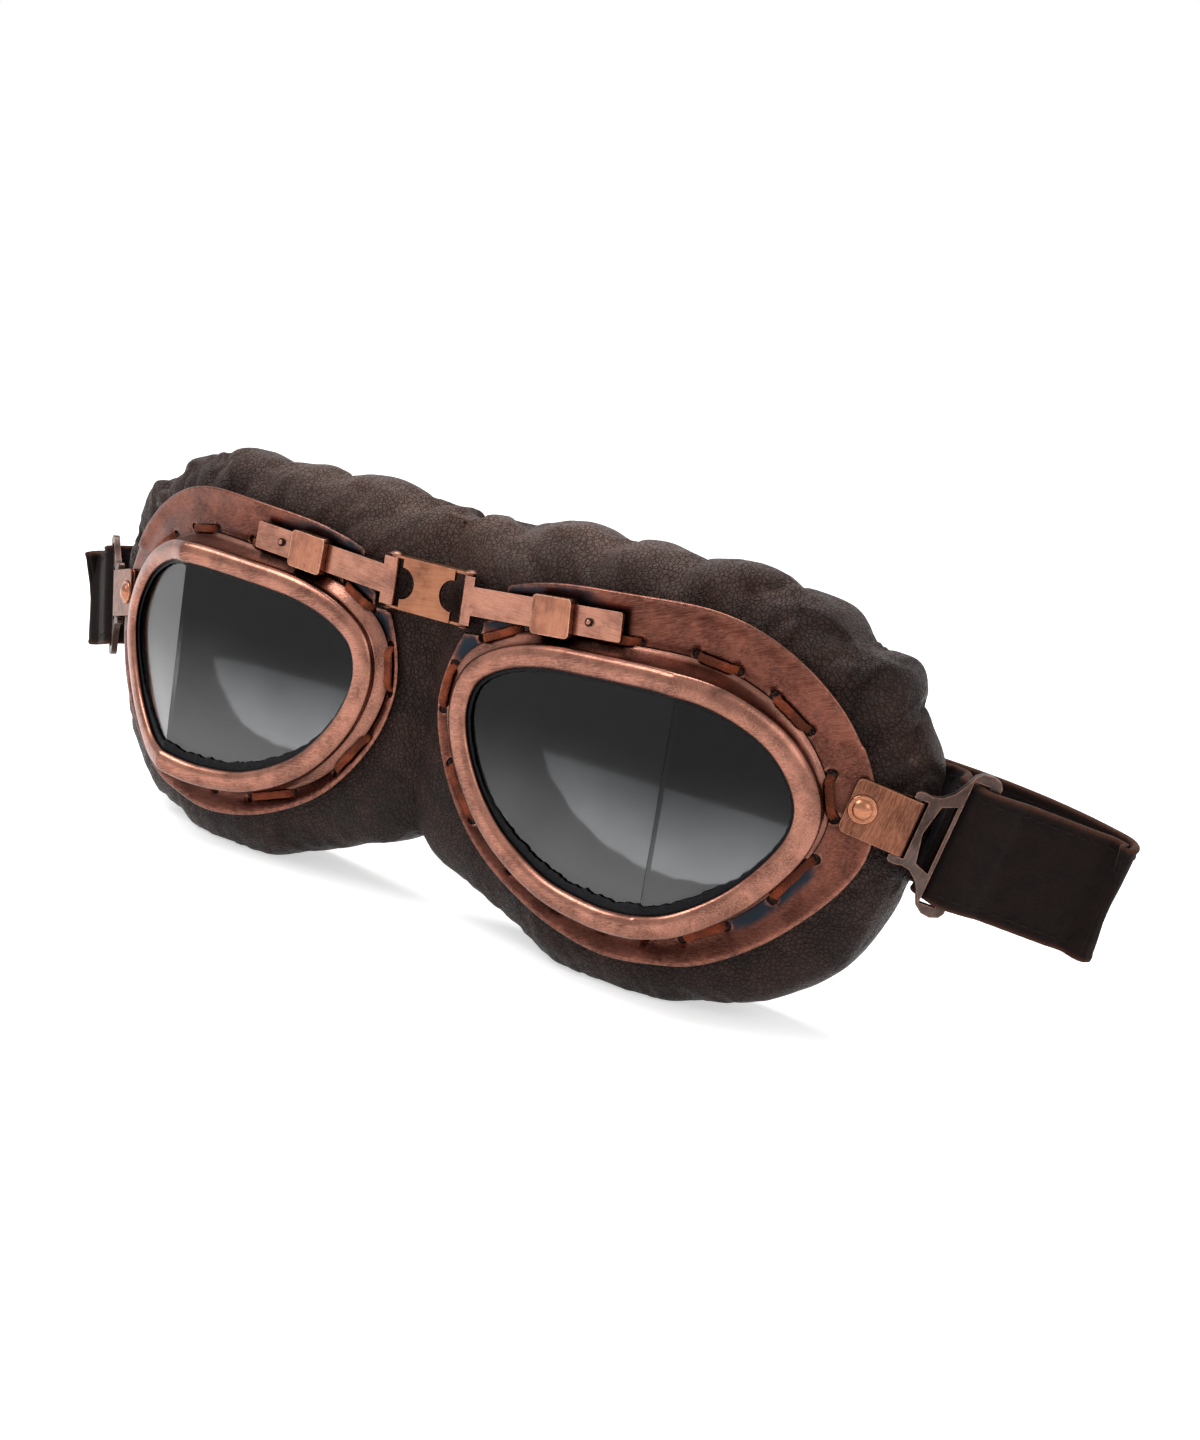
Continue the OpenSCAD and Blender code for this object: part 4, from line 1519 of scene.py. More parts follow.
def face_lines(lines: bpy.types.Object, facings: Sequence[Vector]) -> None:
    """Store which way a thong faces at each of its points."""
    store = lines.data.attributes.new("facing", "FLOAT_VECTOR", "POINT")
    store.data.foreach_set("vector", [value for facing in facings for value in facing])


def doubled(grid: np.ndarray, way: int) -> np.ndarray:
    """Put a smooth new row between all rows of a grid that closes on itself.

    Args:
        grid: The points, in rows and columns.
        way: 0 for new rows, 1 for new columns.

    Returns:
        The finer grid.
    """
    before, after, beyond = (np.roll(grid, step, way) for step in (1, -1, -2))
    middle = (9 * (grid + after) - before - beyond) / 16
    shape = list(grid.shape)
    shape[way] *= 2
    return np.stack([grid, middle], axis=way + 1).reshape(shape)


@dataclass
class LeatherMask:
    """The padded leather behind one cup, and the cloth lining of its eye side."""

    side: Side
    plan: Plan = PLAN
    stations_per_knot: int = 22
    steps: int = 60
    pad_depth_middle: float = 27.1
    valley_x: float = 0.05
    meeting: float = 1.15
    seam_x: float = 9.0
    arm_x: float = 14.0
    gathers: int = 18
    cloth_scale: float = 10.0
    cloth_frames: int = 20
    spare_leather: float = 0.05
    most_moved: float = 2.6
    cut_knots: int = 14
    front_knot: float = 9.0
    hinge_x: float = 10.0
    crest_knot: float = 8.3
    crest_reach: float = 9.2
    back_curve: float = 1500.0
    glass_room: float = 5.47

    def pad_front(self, x: float) -> float:
        """The depth of the leather's front at X."""
        return self.plan.flange_front(x) + 1.1

    def depth_at(self, x: float, deep: float) -> float:
        """The depth at X, a share of the way from the leather's front to its back."""
        front = self.pad_front(abs(x))
        return front + deep * (self.pad_depth_middle + x * x / self.back_curve - front)

    def spot_at(self, index: int) -> float:
        """Where a point lies round its cut, counted in the cut's knots."""
        return (index % self.steps) * self.cut_knots / self.steps

    def nose_limit(self, y: float) -> float:
        """How close to the middle the leather comes at a depth."""
        return self.valley_x + 0.22 * max(0.0, y - 17.5)

    def pad_at(self, place: float, share: float, deep: float) -> Point:
        """Find a point between the flange's edge and the leather's outline.

        Args:
            place: Where round the cup, in knots.
            share: The share of the way outward.
            deep: The share of the way from the front to the back.

        Returns:
            The point in the part's millimetres.
        """
        plan = self.plan
        edge = plan.rim_out(place, min(plan.brim_at(place), plan.brims[1]) - 1.2)
        across, up = spline(plan.pad_knots, place)
        bulge = self.fullness(place)
        out = plan.outward(place)
        far = (plan.cushion_half * across + bulge * out[0],
               plan.cushion_height * up + bulge * out[1])
        x, z = mixed(edge, far, share)
        y = self.depth_at(x, deep)
        x -= 1.2 * smooth(1 - x / 3)
        return (max(x, self.nose_limit(y)), y, max(z, 0.0))

    def fullness(self, place: float) -> float:
        """Tell how far the gathered edge swells or draws in.

        Args:
            place: Where round the cup, in knots.

        Returns:
            The distance outward.
        """
        top = smooth(min(place - 2.0, 8.5 - place))
        drift = 0.35 * noise.noise(Vector((place * 0.7, 4.0, 1.0)))
        wave = math.sin(math.tau * self.gathers * (place + drift) / self.plan.knots)
        uneven = noise.noise(Vector((place * 1.35, 2.0, 5.0)))
        return top * (0.95 * wave - 0.9 + 1.6 * uneven) + (1 - top) * 0.35 * uneven

    def eye_at(self, place: float, off: float, deep: float) -> Point:
        """Find a point beside the rim line, always behind the glass's retainer.

        Args:
            place: Where round the cup, in knots.
            off: The distance out from the rim line.
            deep: The share of the way from the front to the back.

        Returns:
            The point in the part's millimetres.
        """
        x, z = self.plan.rim_out(place, off)
        y = max(self.depth_at(x, deep), self.plan.rim_front(x) + self.glass_room)
        return (max(x, self.nose_limit(y)), y, z)

    def ring(self, place: float) -> list[Point]:
        """One cut through the leather at a place."""
        return [
            self.eye_at(place, -4.2, 0.3), self.eye_at(place, -5, 0.74),
            self.eye_at(place, -2.6, 0.94), self.eye_at(place, 1.5, 1),
            self.pad_at(place, 0.62, 0.95), self.pad_at(place, 0.87, 0.86),
            self.pad_at(place, 0.955, 0.74), self.pad_at(place, 1, 0.6),
            self.pad_at(place, 1, 0.38), self.pad_at(place, 0.955, 0.26),
            self.pad_at(place, 0.84, 0.16), self.pad_at(place, 0.5, 0.05),
            self.pad_at(place, 0, 0), self.eye_at(place, -1.3, 0)]

    def leather(self) -> bpy.types.Object:
        """Build the padded leather with its gathers, puckers and creases.

        Returns:
            The whole pad of one side, before it is cut at the arm.
        """
        coarse = self.stations_per_knot // 2
        around = self.steps // 2
        grid = np.zeros((coarse * self.plan.knots, around, 3))
        for i in range(len(grid)):
            knots = self.ring(i / coarse)
            for j in range(around):
                grid[i, j] = spline(knots, j * len(knots) / around)
        grid = self.swollen(grid)
        grid = doubled(doubled(grid, 0), 1)
        grid[:, :, 0] = np.maximum(grid[:, :, 0], self.valley_x)
        grid[:, :, 2] = np.maximum(grid[:, :, 2], 0.0)
        count = len(grid)
        points: list[Point] = [tuple(p) for ring in grid for p in ring]
        # Painted light: the pad's top towards the middle gets a paler colour through this number.
        top_lights: list[float] = []
        for index, (x, _, z) in enumerate(points):
            past = abs(self.spot_at(index) - self.crest_knot)
            crest = smooth((self.crest_reach - past) / self.crest_reach - 0.4)
            top_lights.append(crest * smooth((z - 40) / 45) * smooth((95 - x) / 60))
        piece = make_piece(f"leather_{self.side.word}", points, ring_faces(count, self.steps),
                           self.side, {"top_light": top_lights})
        self.crease(piece)
        return piece

    def swollen(self, grid: np.ndarray) -> np.ndarray:
        """Let the leather fill and buckle as cloth, held along its seams.

        Args:
            grid: The pad's points, ring by ring, in millimetres.

        Returns:
            The same points after the cloth has settled.
        """
        rings, around = grid.shape[:2]
        mesh = bpy.data.meshes.new("pad cloth")
        enlarged = grid.reshape(-1, 3) * MM * self.cloth_scale
        mesh.from_pydata([tuple(p) for p in enlarged], [], ring_faces(rings, around))
        turn_outwards(mesh)
        cloth = linked("pad cloth", mesh)
        spots = np.tile(np.arange(around) * self.cut_knots / around, rings)
        flat = grid.reshape(-1, 3)
        back_seam, front_seam = 3.2, 12.6
        loose = ramp(spots, back_seam, 2.0) * ramp(-spots, -front_seam, 1.4)
        loose *= ramp(flat[:, 0], 2.0, 4.0) * ramp(flat[:, 2], 0.5, 4.0)
        seam = cloth.vertex_groups.new(name="held")
        for index, free in enumerate(loose):
            if free < 1:
                seam.add([index], 1 - float(free), "REPLACE")
        layer = cloth.modifiers.new("swell", "CLOTH")
        for label, value in {
                "quality": 6, "mass": 0.3, "tension_stiffness": 18, "compression_stiffness": 10,
                "shear_stiffness": 6, "bending_stiffness": 0.35, "use_pressure": True,
                "uniform_pressure_force": 4, "shrink_min": -self.spare_leather,
                "vertex_group_mass": "held"}.items():
            setattr(layer.settings, label, value)
        layer.settings.effector_weights.gravity = 0
        layer.collision_settings.use_collision = False
        layer.point_cache.frame_start = 1
        layer.point_cache.frame_end = self.cloth_frames
        for step in range(1, self.cloth_frames + 1):
            bpy.context.scene.frame_set(step)
        ready = cloth.evaluated_get(bpy.context.evaluated_depsgraph_get())
        found = np.zeros(len(flat) * 3, dtype=np.float32)
        ready.data.vertices.foreach_get("co", found)
        bpy.data.objects.remove(cloth)
        bpy.context.scene.frame_set(1)
        moves = found.reshape(-1, 3) / (MM * self.cloth_scale) - flat
        sizes_moved = np.linalg.norm(moves, axis=1)
        log.info("leather moved up to %.2f mm, %.2f mm on average",
                 float(sizes_moved.max()), float(sizes_moved.mean()))
        calm = 0.3 + 0.7 * ramp(flat[:, 2], 25, 35)
        cut = np.minimum(1.0, self.most_moved / np.maximum(sizes_moved, 1e-6))
        by_hinge = (spots > self.front_knot) & (flat[:, 0] < 2 * self.hinge_x)
        calm *= np.where(by_hinge, 0.2 + 0.8 * ramp(flat[:, 0], self.hinge_x, 10), 1.0)
        cut *= np.clip(loose * 3, 0, 1) * calm
        return (flat + moves * cut[:, None]).reshape(grid.shape)

    def crease(self, piece: bpy.types.Object) -> None:
        """Push the surface in and out: broad lumps, and puckers that run to the stitches.

        Args:
            piece: The whole pad, whose points lie cut by cut.
        """
        mesh = piece.data
        moves = []
        for index, vertex in enumerate(mesh.vertices):
            x, y, z = vertex.co * 1000
            x = abs(x)
            spot = self.spot_at(index)
            place = index // self.steps / self.stations_per_knot
            free = smooth((spot - 4.0) / 2.5) * smooth((12.4 - spot) / 1.6)
            if z < 0.6 or x < 1.2:
                free *= 0.2
            if spot > self.front_knot:
                free *= 0.2 + 0.8 * smooth((x - self.hinge_x) / 10)
            lump = noise.noise(Vector((x * 0.06, y * 0.05, z * 0.06))) * 1.7
            crinkle = noise.noise(Vector((place * 4.1, spot * 0.55, 1.7)))
            sharp = 1 - abs(noise.noise(Vector((place * 2.6, spot * 0.28, 8.2)))) * 4.0
            calm = 0.25 + 0.75 * smooth((z - 30) / 30)
            pucker = calm * smooth((spot - 6.5) / 2) * (0.55 * crinkle - 1.0 * max(0.0, sharp))
            moves.append(vertex.normal * MM * free * (lump + pucker))
        for vertex, move in zip(mesh.vertices, moves):
            vertex.co += move
            vertex.co.z = max(0.0, vertex.co.z)
            if vertex.co.x * self.side.value < self.meeting * MM:
                vertex.co.x = 0.0

    def cut_at_arm(self, piece: bpy.types.Object) -> list[bpy.types.Object]:
        """Cut the leather where the cup's part ends and the bridge's part begins.

        Args:
            piece: The whole pad; it is used up.

        Returns:
            The outer and the inner piece, both closed.
        """
        parts = []
        for label, keep in (("outer", 1), ("inner", -1)):
            work = bmesh.new()
            work.from_mesh(piece.data)
            plane = Vector((self.side.value * self.seam_x * MM, 0, 0))
            normal = Vector((self.side.value * keep, 0, 0))
            found = bmesh.ops.bisect_plane(
                work, geom=work.verts[:] + work.edges[:] + work.faces[:], plane_co=plane,
                plane_no=normal, clear_inner=True, dist=1e-7)
            rim = [e for e in found["geom_cut"] if isinstance(e, bmesh.types.BMEdge)]
            bmesh.ops.holes_fill(work, edges=rim, sides=0)
            bmesh.ops.recalc_face_normals(work, faces=work.faces[:])
            mesh = bpy.data.meshes.new(f"leather_{label}_{self.side.word}")
            work.to_mesh(mesh)
            work.free()
            mesh.shade_smooth()
            mesh.set_sharp_from_angle(angle=math.radians(60))
            parts.append(linked(mesh.name, mesh))
        bpy.data.objects.remove(piece)
        return parts

    def lining(self) -> bpy.types.Object:
        """Build the cloth ring inside the leather.

        Returns:
            The lining.
        """
        per_knot = 12
        count = per_knot * self.plan.knots
        cloth_thick = 0.8
        outer = ((-3.2, 0.93), (-5.1, 0.82), (-5.4, 0.74), (-5.3, 0.5), (-4.6, 0.3), (-3.2, 0.14),
                 (-2.1, 0.05))
        points = []
        for i in range(count):
            place = i / per_knot
            ridge = 0.14 * math.sin(place * 9) + 0.3 * noise.noise(Vector((place * 2.2, 0, 0)))
            points += [self.eye_at(place, off, deep) for off, deep in outer]
            points += [self.eye_at(place, off - cloth_thick + ridge, deep)
                       for off, deep in reversed(outer)]
        return make_piece(f"lining_{self.side.word}_cloth", points,
                          ring_faces(count, 2 * len(outer)), self.side)


@dataclass
class StrapSide:
    """One half of the elastic band, from its loose tail through the buckle to the back."""

    side: Side
    plan: Plan = PLAN
    width: float = 25.0
    thick: float = 1.5
    ride: float = 1.8
    per_knot: int = 8
    stitch_step: float = 3.1
    stitch_gap: float = 0.45
    seam_in: float = 2.15
    bar_way: Point = (0.2049, 0.0927, 0.9744)
    zones: tuple[tuple[int, int, str, str], ...] = (
        (0, 3, "cup", "tab"), (3, 5, "tab", "buckle"), (5, 22, "buckle", "buckle"),
        (22, 25, "buckle", "tab"), (25, 26, "tab", "cup"), (26, 28, "cup", "arm"),
        (28, 31, "arm", "bridge"))

    @property
    def route(self) -> list[tuple[float, float, float, float]]:
        """The knots of the band's middle line.

        Returns:
            X, Y and Z of each knot, and how far the band's width follows the buckle's bar.
        """
        ride = self.ride
        through = [(7.9, -ride - 1.8), (8.4, -ride - 0.5), (9.2, -ride + 0.5), (10.1, 0),
                   (11.2, ride - 0.35), (12.1, ride), (13.2, ride), (15, ride - 0.3),
                   (18, ride - 1), (21, 0), (28, 0), (35, 0), (39, -0.3)]
        tail = [(92, 37.6, 44.9, 0), (97, 37.6, 45, 0.2), (102, 36.9, 45.3, 0.4),
                (106.8, 34.7, 45.8, 0.7), (109.8, 31.4, 46.2, 0.9), (110.8, 28.3, 46.4, 1)]
        far = [(141.1, 40.9, 38.6, 1), (141.3, 43, 38.9, 1), (139.9, 45, 39.2, 0.9),
               (137, 46.7, 39.5, 0.8), (130, 49.3, 40.3, 0.6), (120, 52, 41.2, 0.4),
               (108, 54.2, 42, 0.2), (94, 55.7, 42.6, 0), (76, 56.7, 42.9, 0),
               (56, 57.2, 43, 0), (36, 57.4, 43, 0), (18, 57.5, 43, 0), (0, 57.5, 43, 0)]
        return tail + [(*self.plan.buckle_point(*p), 1) for p in through] + far

    def stations(self) -> list[tuple[Vector, Vector, Vector, float]]:
        """Points along the band with its width and thickness directions.

        Returns:
            For each station its middle, its upward direction, its outer direction and
            its distance along the band.
        """
        knots = self.route
        mirror = (-knots[-2][0], *knots[-2][1:])
        padded = [tuple(2 * a - b for a, b in zip(knots[0], knots[1]))] + knots + [mirror]
        line = []
        for k in range(len(knots) - 1):
            for i in range(self.per_knot):
                line.append(curve_between(*padded[k:k + 4], i / self.per_knot))
        line.append(knots[-1])
        result = []
        reach = 0.0
        for i, (x, y, z, share) in enumerate(line):
            if i:
                reach += math.dist(line[i][:3], line[i - 1][:3])
            mirrored = (-line[i - 1][0], y, z)
            ahead = Vector(line[i + 1][:3] if i + 1 < len(line) else mirrored)
            behind = Vector(line[max(0, i - 1)][:3])
            run = (ahead - behind).normalized()
            guide = Vector(self.bar_way) * share + Vector((0, 0, 1)) * (1 - share)
            up = (guide - run * guide.dot(run)).normalized()
            result.append((Vector((x, y, z)), up, run.cross(up), reach))
        return result

    def cut(self) -> list[tuple[float, float, float]]:
        """Draw the band's cut.

        Returns:
            For each point its place across, its place through, and how far it belongs to
            the rolled edge.
        """
        half = self.width / 2
        deep = self.thick / 2
        front = [(-half + 0.02, 0.35, 1), (-half + 0.22, 0.84, 1), (-half + 0.5, 1.02, 0.9),
                 (-half + 0.85, 1.0, 0.25), (-half + 1.4, 0.84, 0), (-half + 2.0, 0.78, 0),
                 (-half + 2.6, 0.86, 0), (-8, 0.95, 0), (-4, 1, 0), (0, 1, 0)]
        front += [(-a, b, c) for a, b, c in reversed(front[:-1])]
        shape = [(a, b * deep, c) for a, b, c in front]
        return shape + [(a, -b, c) for a, b, c in reversed(shape)]

    def build(self) -> list[tuple[bpy.types.Object, int]]:
        """Build the band's pieces, one for each zone.

        Returns:
            Each piece and the number of its zone.
        """
        shape = self.cut()
        made = []
        for number in range(len(self.zones)):
            part = self.zone_stations(number)
            points: list[Vector] = []
            rolled: list[float] = []
            for middle, up, out, reach in part:
                for across, deep, roll in shape:
                    scallop = 0.0
                    if roll > 0.5:
                        scallop = 0.12 * math.sin(reach * math.tau / self.stitch_step)
                    ripple = 0.1 * noise.noise(Vector((reach * 0.09, across * 0.12, 0)))
                    points.append(middle + up * across + out * (deep * (1 + scallop) + ripple))
                    rolled.append(roll)
            piece = make_piece(f"band_{number}_{self.side.word}", points,
                               ring_faces(len(part), len(shape), closed=False), self.side,
                               {"rolled": rolled})
            piece.data.set_sharp_from_angle(angle=math.radians(60))
            self.map_band(piece, part, shape)
            made.append((piece, number))
        return made

    def zone_stations(self, number: int) -> list[tuple[Vector, Vector, Vector, float]]:
        """The stations of one zone, both ends included."""
        first, last, _, _ = self.zones[number]
        return self.stations()[first * self.per_knot:last * self.per_knot + 1]

    def map_band(self, piece: bpy.types.Object, part: Sequence[tuple],
                 shape: Sequence[tuple]) -> None:
        """Give the band a surface map in millimetres.

        Args:
            piece: The band's piece.
            part: Its stations, which give the map's first axis.
            shape: Its cut, which gives the second axis.
        """
        layer = piece.data.uv_layers.new(name="along")
        around = len(shape)
        for loop in piece.data.loops:
            ring = loop.vertex_index // around
            spot = loop.vertex_index % around
            layer.data[loop.index].uv = (part[ring][3], shape[spot][0])

    def stitch_lines(self, number: int) -> bpy.types.Object:
        """Lay the lines of a zone's thread, just inside both rolled edges.

        Args:
            number: The zone's number.

        Returns:
            An object of lines, with the way that the thread faces at each point.
        """
        part = self.zone_stations(number)
        mesh = bpy.data.meshes.new("thread lines")
        points: list[Vector] = []
        edges: list[tuple[int, int]] = []
        facings: list[Vector] = []
        reaches = [p[3] for p in part]
        step = self.stitch_step
        spans = 5
        whole = range(math.ceil(reaches[0] / step), math.floor(reaches[-1] / step))
        for edge, face, k in itertools.product((-1, 1), (-1, 1), whole):
            start = k * step + self.stitch_gap
            end = (k + 1) * step - self.stitch_gap
            if start < reaches[0] or end > reaches[-1]:
                continue
            for i in range(spans + 1):
                at = start + (end - start) * i / spans
                index = max(0, min(len(part) - 2, int(np.searchsorted(reaches, at)) - 1))
                share = (at - reaches[index]) / (reaches[index + 1] - reaches[index])
                middle, up, out = (part[index][axis].lerp(part[index + 1][axis], share)
                                   for axis in range(3))
                wave = math.sin(math.pi * i / spans)
                sink = -0.28 if i in (0, spans) else 0.06 * wave
                across = edge * (self.width / 2 - self.seam_in - 0.22 * wave)
                spot = middle + up * across + out * face * (self.thick * 0.37 + sink)
                points.append(self.plan.world(spot, self.side))
                facings.append(Vector((out.x * self.side.value, out.y, out.z)) * face)
                if i:
                    edges.append((len(points) - 2, len(points) - 1))
        mesh.from_pydata(points, edges, [])
        piece = linked("thread lines", mesh)
        face_lines(piece, facings)
        return piece


@dataclass
class Fitting:
    """A hard piece made from its solid: joined up, with its edges worked round."""

    node: str
    round_edge: float = 0.14
    steps: int = 2

    def build(self) -> bpy.types.Object:
        """Copy the solid, merge its triangles and round its edges.

        Returns:
            The finished piece.
        """
        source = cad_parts[self.node]
        work = bmesh.new()
        work.from_mesh(source.data)
        bmesh.ops.remove_doubles(work, verts=work.verts[:], dist=1e-6)
        bmesh.ops.dissolve_limit(work, angle_limit=math.radians(1.0), verts=work.verts[:],
                                 edges=work.edges[:])
        mesh = bpy.data.meshes.new(f"{self.node}_worked")
        work.to_mesh(mesh)
        work.free()
        mesh.shade_smooth()
        piece = linked(mesh.name, mesh)
        edge = piece.modifiers.new("round the edges", "BEVEL")
        edge.width = self.round_edge * MM
        edge.segments = self.steps
        edge.limit_method = "ANGLE"
        edge.angle_limit = math.radians(32)
        edge.harden_normals = False
        even = piece.modifiers.new("even the shading", "WEIGHTED_NORMAL")
        even.keep_sharp = True
        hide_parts(self.node)
        return piece


@dataclass
class Studio:
    """The camera, the soft lamps, the pale floor and the white surroundings."""

    eye: Point = (0.23154, -0.33402, 0.13093)
    right: Point = (0.82965105, 0.53567002, 0.15727926)
    up: Point = (-0.24202525, 0.09123008, 0.96597145)
    forward: Point = (-0.50309335, 0.83948478, -0.2053348)
    focal: float = 30.833
    film: float = 24.0

    def camera(self) -> None:
        """Put the camera where the photograph was taken from."""
        lens = bpy.data.cameras.new("camera")
        lens.sensor_fit = "VERTICAL"
        lens.sensor_height = self.film
        lens.lens = self.focal
        lens.clip_start = 0.01
        lens.clip_end = 20
        item = linked("camera", lens)
        back = [-v for v in self.forward]
        turn = Matrix((self.right, self.up, back)).transposed().to_4x4()
        item.matrix_world = Matrix.Translation(Vector(self.eye)) @ turn
        bpy.context.scene.camera = item

    def lamp(self, name: str, spot: Point, aim: Point, size: float, power: float) -> None:
        """Add one soft square lamp.

        Args:
            name: The lamp's name.
            spot: Where it hangs, in metres.
            aim: Where it points.
            size: The length of its sides in metres.
            power: Its power in watts.
        """
        light = bpy.data.lights.new(name, "AREA")
        light.size = size
        light.energy = power
        item = linked(name, light)
        item.location = spot
        item.rotation_euler = (Vector(aim) - Vector(spot)).to_track_quat("-Z", "Y").to_euler()

    def world(self) -> None:
        """Make the surroundings white where they are seen or mirrored, and dim as light."""
        space = bpy.data.worlds.new("surroundings")
        space.use_nodes = True
        shade = Shade(space.node_tree)
        shine = next(n for n in space.node_tree.nodes if n.type == "BACKGROUND")
        path = shade.node("ShaderNodeLightPath")
        seen = shade.math("MAXIMUM", path.outputs["Is Camera Ray"], path.outputs["Is Glossy Ray"])
        seen = shade.math("MAXIMUM", seen, path.outputs["Is Transmission Ray"])
        shade.put(shade.span(seen, 0, 1, 0.6, 1.0), shine.inputs["Strength"])
        shine.inputs["Color"].default_value = (1, 1, 1, 1)
        bpy.context.scene.world = space

    def floor(self) -> None:
        """Lay the plain pale floor, which keeps the shadow."""
        material, shade, shader = start_material("pale floor")
        shader.inputs["Base Color"].default_value = (0.86, 0.86, 0.86, 1)
        shader.inputs["Roughness"].default_value = 0.9
        path = shade.node("ShaderNodeLightPath")
        seen = shade.math("MAXIMUM", path.outputs["Is Camera Ray"], path.outputs["Is Glossy Ray"])
        shader.inputs["Emission Color"].default_value = (1, 1, 1, 1)
        shade.put(shade.math("MULTIPLY", seen, 0.55), shader.inputs["Emission Strength"])
        half = 3.0
        mesh = bpy.data.meshes.new("floor")
        low = CAD_BOX[0][2] - 0.1 * MM
        mesh.from_pydata([(-half, -half, low), (half, -half, low), (half, half, low),
                          (-half, half, low)], [], [(0, 1, 2, 3)])
        ground = dress(linked("floor", mesh), material)

    def build(self) -> None:
        """Set up everything round the goggles."""
        self.camera()
        self.world()
        self.floor()
        self.lamp("key lamp", (-0.5, -0.55, 0.95), (0, 0, 0.045), 0.5, 6.5)
        self.lamp("top lamp", (-0.15, 0.3, 1.0), (0, 0, 0.06), 0.5, 6.0)
        self.lamp("fill lamp", (0.9, -0.35, 0.6), (0, 0, 0.045), 0.6, 2.0)
        bpy.context.scene.view_settings.view_transform = "Standard"


class Finishes:
    """All the finishes of the goggles, built once."""

    def __init__(self) -> None:
        """Build each material from its colours."""
        patterns = Patterns()
        # The rim's number darkens it with painted shade and a painted dark reflection.
        self.rim = MetalFinish(
            "antique copper rim", tint(146, 96, 80), tint(94, 57, 47), tint(204, 152, 132),
            tint(40, 24, 24), turn=(0, 16, 0), fineness=5.0, stroke_share=0.34, tone="tone",
            bump=0.03, hollow_shade_reach=3.5, rough=(0.22, 0.34), wear_and_glint=0,
            hollow_shade=0.9).build(patterns)
        # The brim's dark hollow colour is painted shade in its trough, and its strong edge wear is
        # also a painted highlight.
        self.brim = MetalFinish(
            "heat-stained copper brim", tint(101, 58, 47), tint(61, 31, 25), tint(162, 110, 93),
            tint(31, 42, 50), turn=(0, 20, 0), fineness=4.2, stroke_share=0.25, tone="tone",
            bump=0.05, rough=(0.24, 0.36), hollow_shade_reach=9.0, wear_and_glint=1.2, hollow_shade=0.92,
            hollow_shade_colour=tint(36, 18, 15)).build(patterns)
        self.link = MetalFinish(
            "satin copper link", tint(150, 98, 73), tint(120, 76, 56), tint(190, 136, 108),
            tint(50, 30, 24), turn=(0, 8, 0), fineness=2.6, stroke_share=0.2, bump=0.04,
            rough=(0.3, 0.38), hollow_shade_reach=1.5, wear_and_glint=0.15).build(patterns)
        self.arm = MetalFinish(
            "brushed copper arm", tint(158, 107, 89), tint(112, 72, 60), tint(212, 164, 142),
            tint(46, 30, 28), turn=(0, -4, 0), fineness=5.0, stroke_share=0.22, bump=0.02,
            rough=(0.22, 0.34), hollow_shade_reach=2.0, wear_and_glint=0.15).build(patterns)
        self.keeper = MetalFinish(
            "worn copper keeper", tint(156, 102, 80), tint(108, 66, 52), tint(222, 172, 146),
            tint(30, 25, 28), turn=(0, 86, 0), fineness=5.0, stroke_share=0.12, bump=0.015,
            rough=(0.22, 0.34), wear_and_glint=0.45, hollow_shade_reach=2.0, hollow_shade=0.9).build(patterns)
        self.tab = MetalFinish(
            "satin copper tab", tint(108, 65, 49), tint(74, 43, 33), tint(182, 128, 100),
            tint(48, 28, 24), turn=(0, 76, 0), fineness=3.0, stroke_share=0.25, bump=0.04,
            rough=(0.24, 0.36), wear_and_glint=0.4, hollow_shade_reach=2.0).build(patterns)
        self.rivet = MetalFinish(
            "polished copper rivet", tint(164, 104, 76), tint(120, 72, 52), tint(224, 172, 140),
            tint(44, 26, 22), fineness=2.0, stroke_share=0.2, bump=0.03, rough=(0.2, 0.3),
            wear_and_glint=0, hollow_shade_reach=1.2, hollow_shade=0.9).build(patterns)
        self.buckle = MetalFinish(
            "worn gunmetal buckle", tint(78, 68, 65), tint(50, 43, 42), tint(150, 104, 84),
            tint(26, 23, 25), turn=(0, 60, 0), fineness=1.6, stroke_share=0.12, bump=0.06,
            rough=(0.3, 0.44), wear_and_glint=0.45, hollow_shade_reach=2.5).build(patterns)
        self.steel = MetalFinish(
            "dull steel", tint(96, 96, 98), tint(60, 60, 64), tint(150, 150, 152),
            tint(30, 30, 32), hollow_shade=0.4, wear_and_glint=0).build(patterns)
        self.pin = MetalFinish(
            "dark pin heads", tint(92, 66, 57), tint(46, 38, 38), tint(184, 132, 108),
            tint(20, 18, 20), wear_and_glint=0.25, hollow_shade_reach=1.0, hollow_shade=0.9).build(patterns)
        # The leather's rubbed colour also paints light on its top.
        self.leather = HideFinish(
            "crackled brown leather", tint(52, 33, 27), tint(34, 21, 17), tint(130, 100, 88),
            pebbles=1.0, grain=1.0, tone="top_light", rough=(0.36, 0.56), specular=0.17).build(patterns)
        self.lace = HideFinish(
            "rust leather lace", tint(146, 68, 38), tint(88, 40, 22), tint(180, 100, 64),
            pebbles=2.4, grain=0.6, rough=(0.6, 0.85), specular=0.2).build(patterns)
        self.lining = SoftFinish(
            "brown lining cloth", tint(92, 60, 42), tint(48, 30, 22), scale=2.5).build(patterns)
        self.rubber = SoftFinish(
            "black rubber seal", tint(20, 21, 24), tint(9, 9, 11), rough=0.6).build(patterns)
        self.band = BandFinish(
            "dark suede band", tint(25, 14, 11), tint(18, 10, 8), tint(70, 43, 32)).build(patterns)
        self.thread = SoftFinish(
            "brown thread", tint(27, 17, 13), tint(15, 9, 8), scale=4.0).build(patterns)
        self.glass = GlassFinish(
            "smoked glass", tint(22, 23, 25), tint(104, 106, 108)).build(patterns)


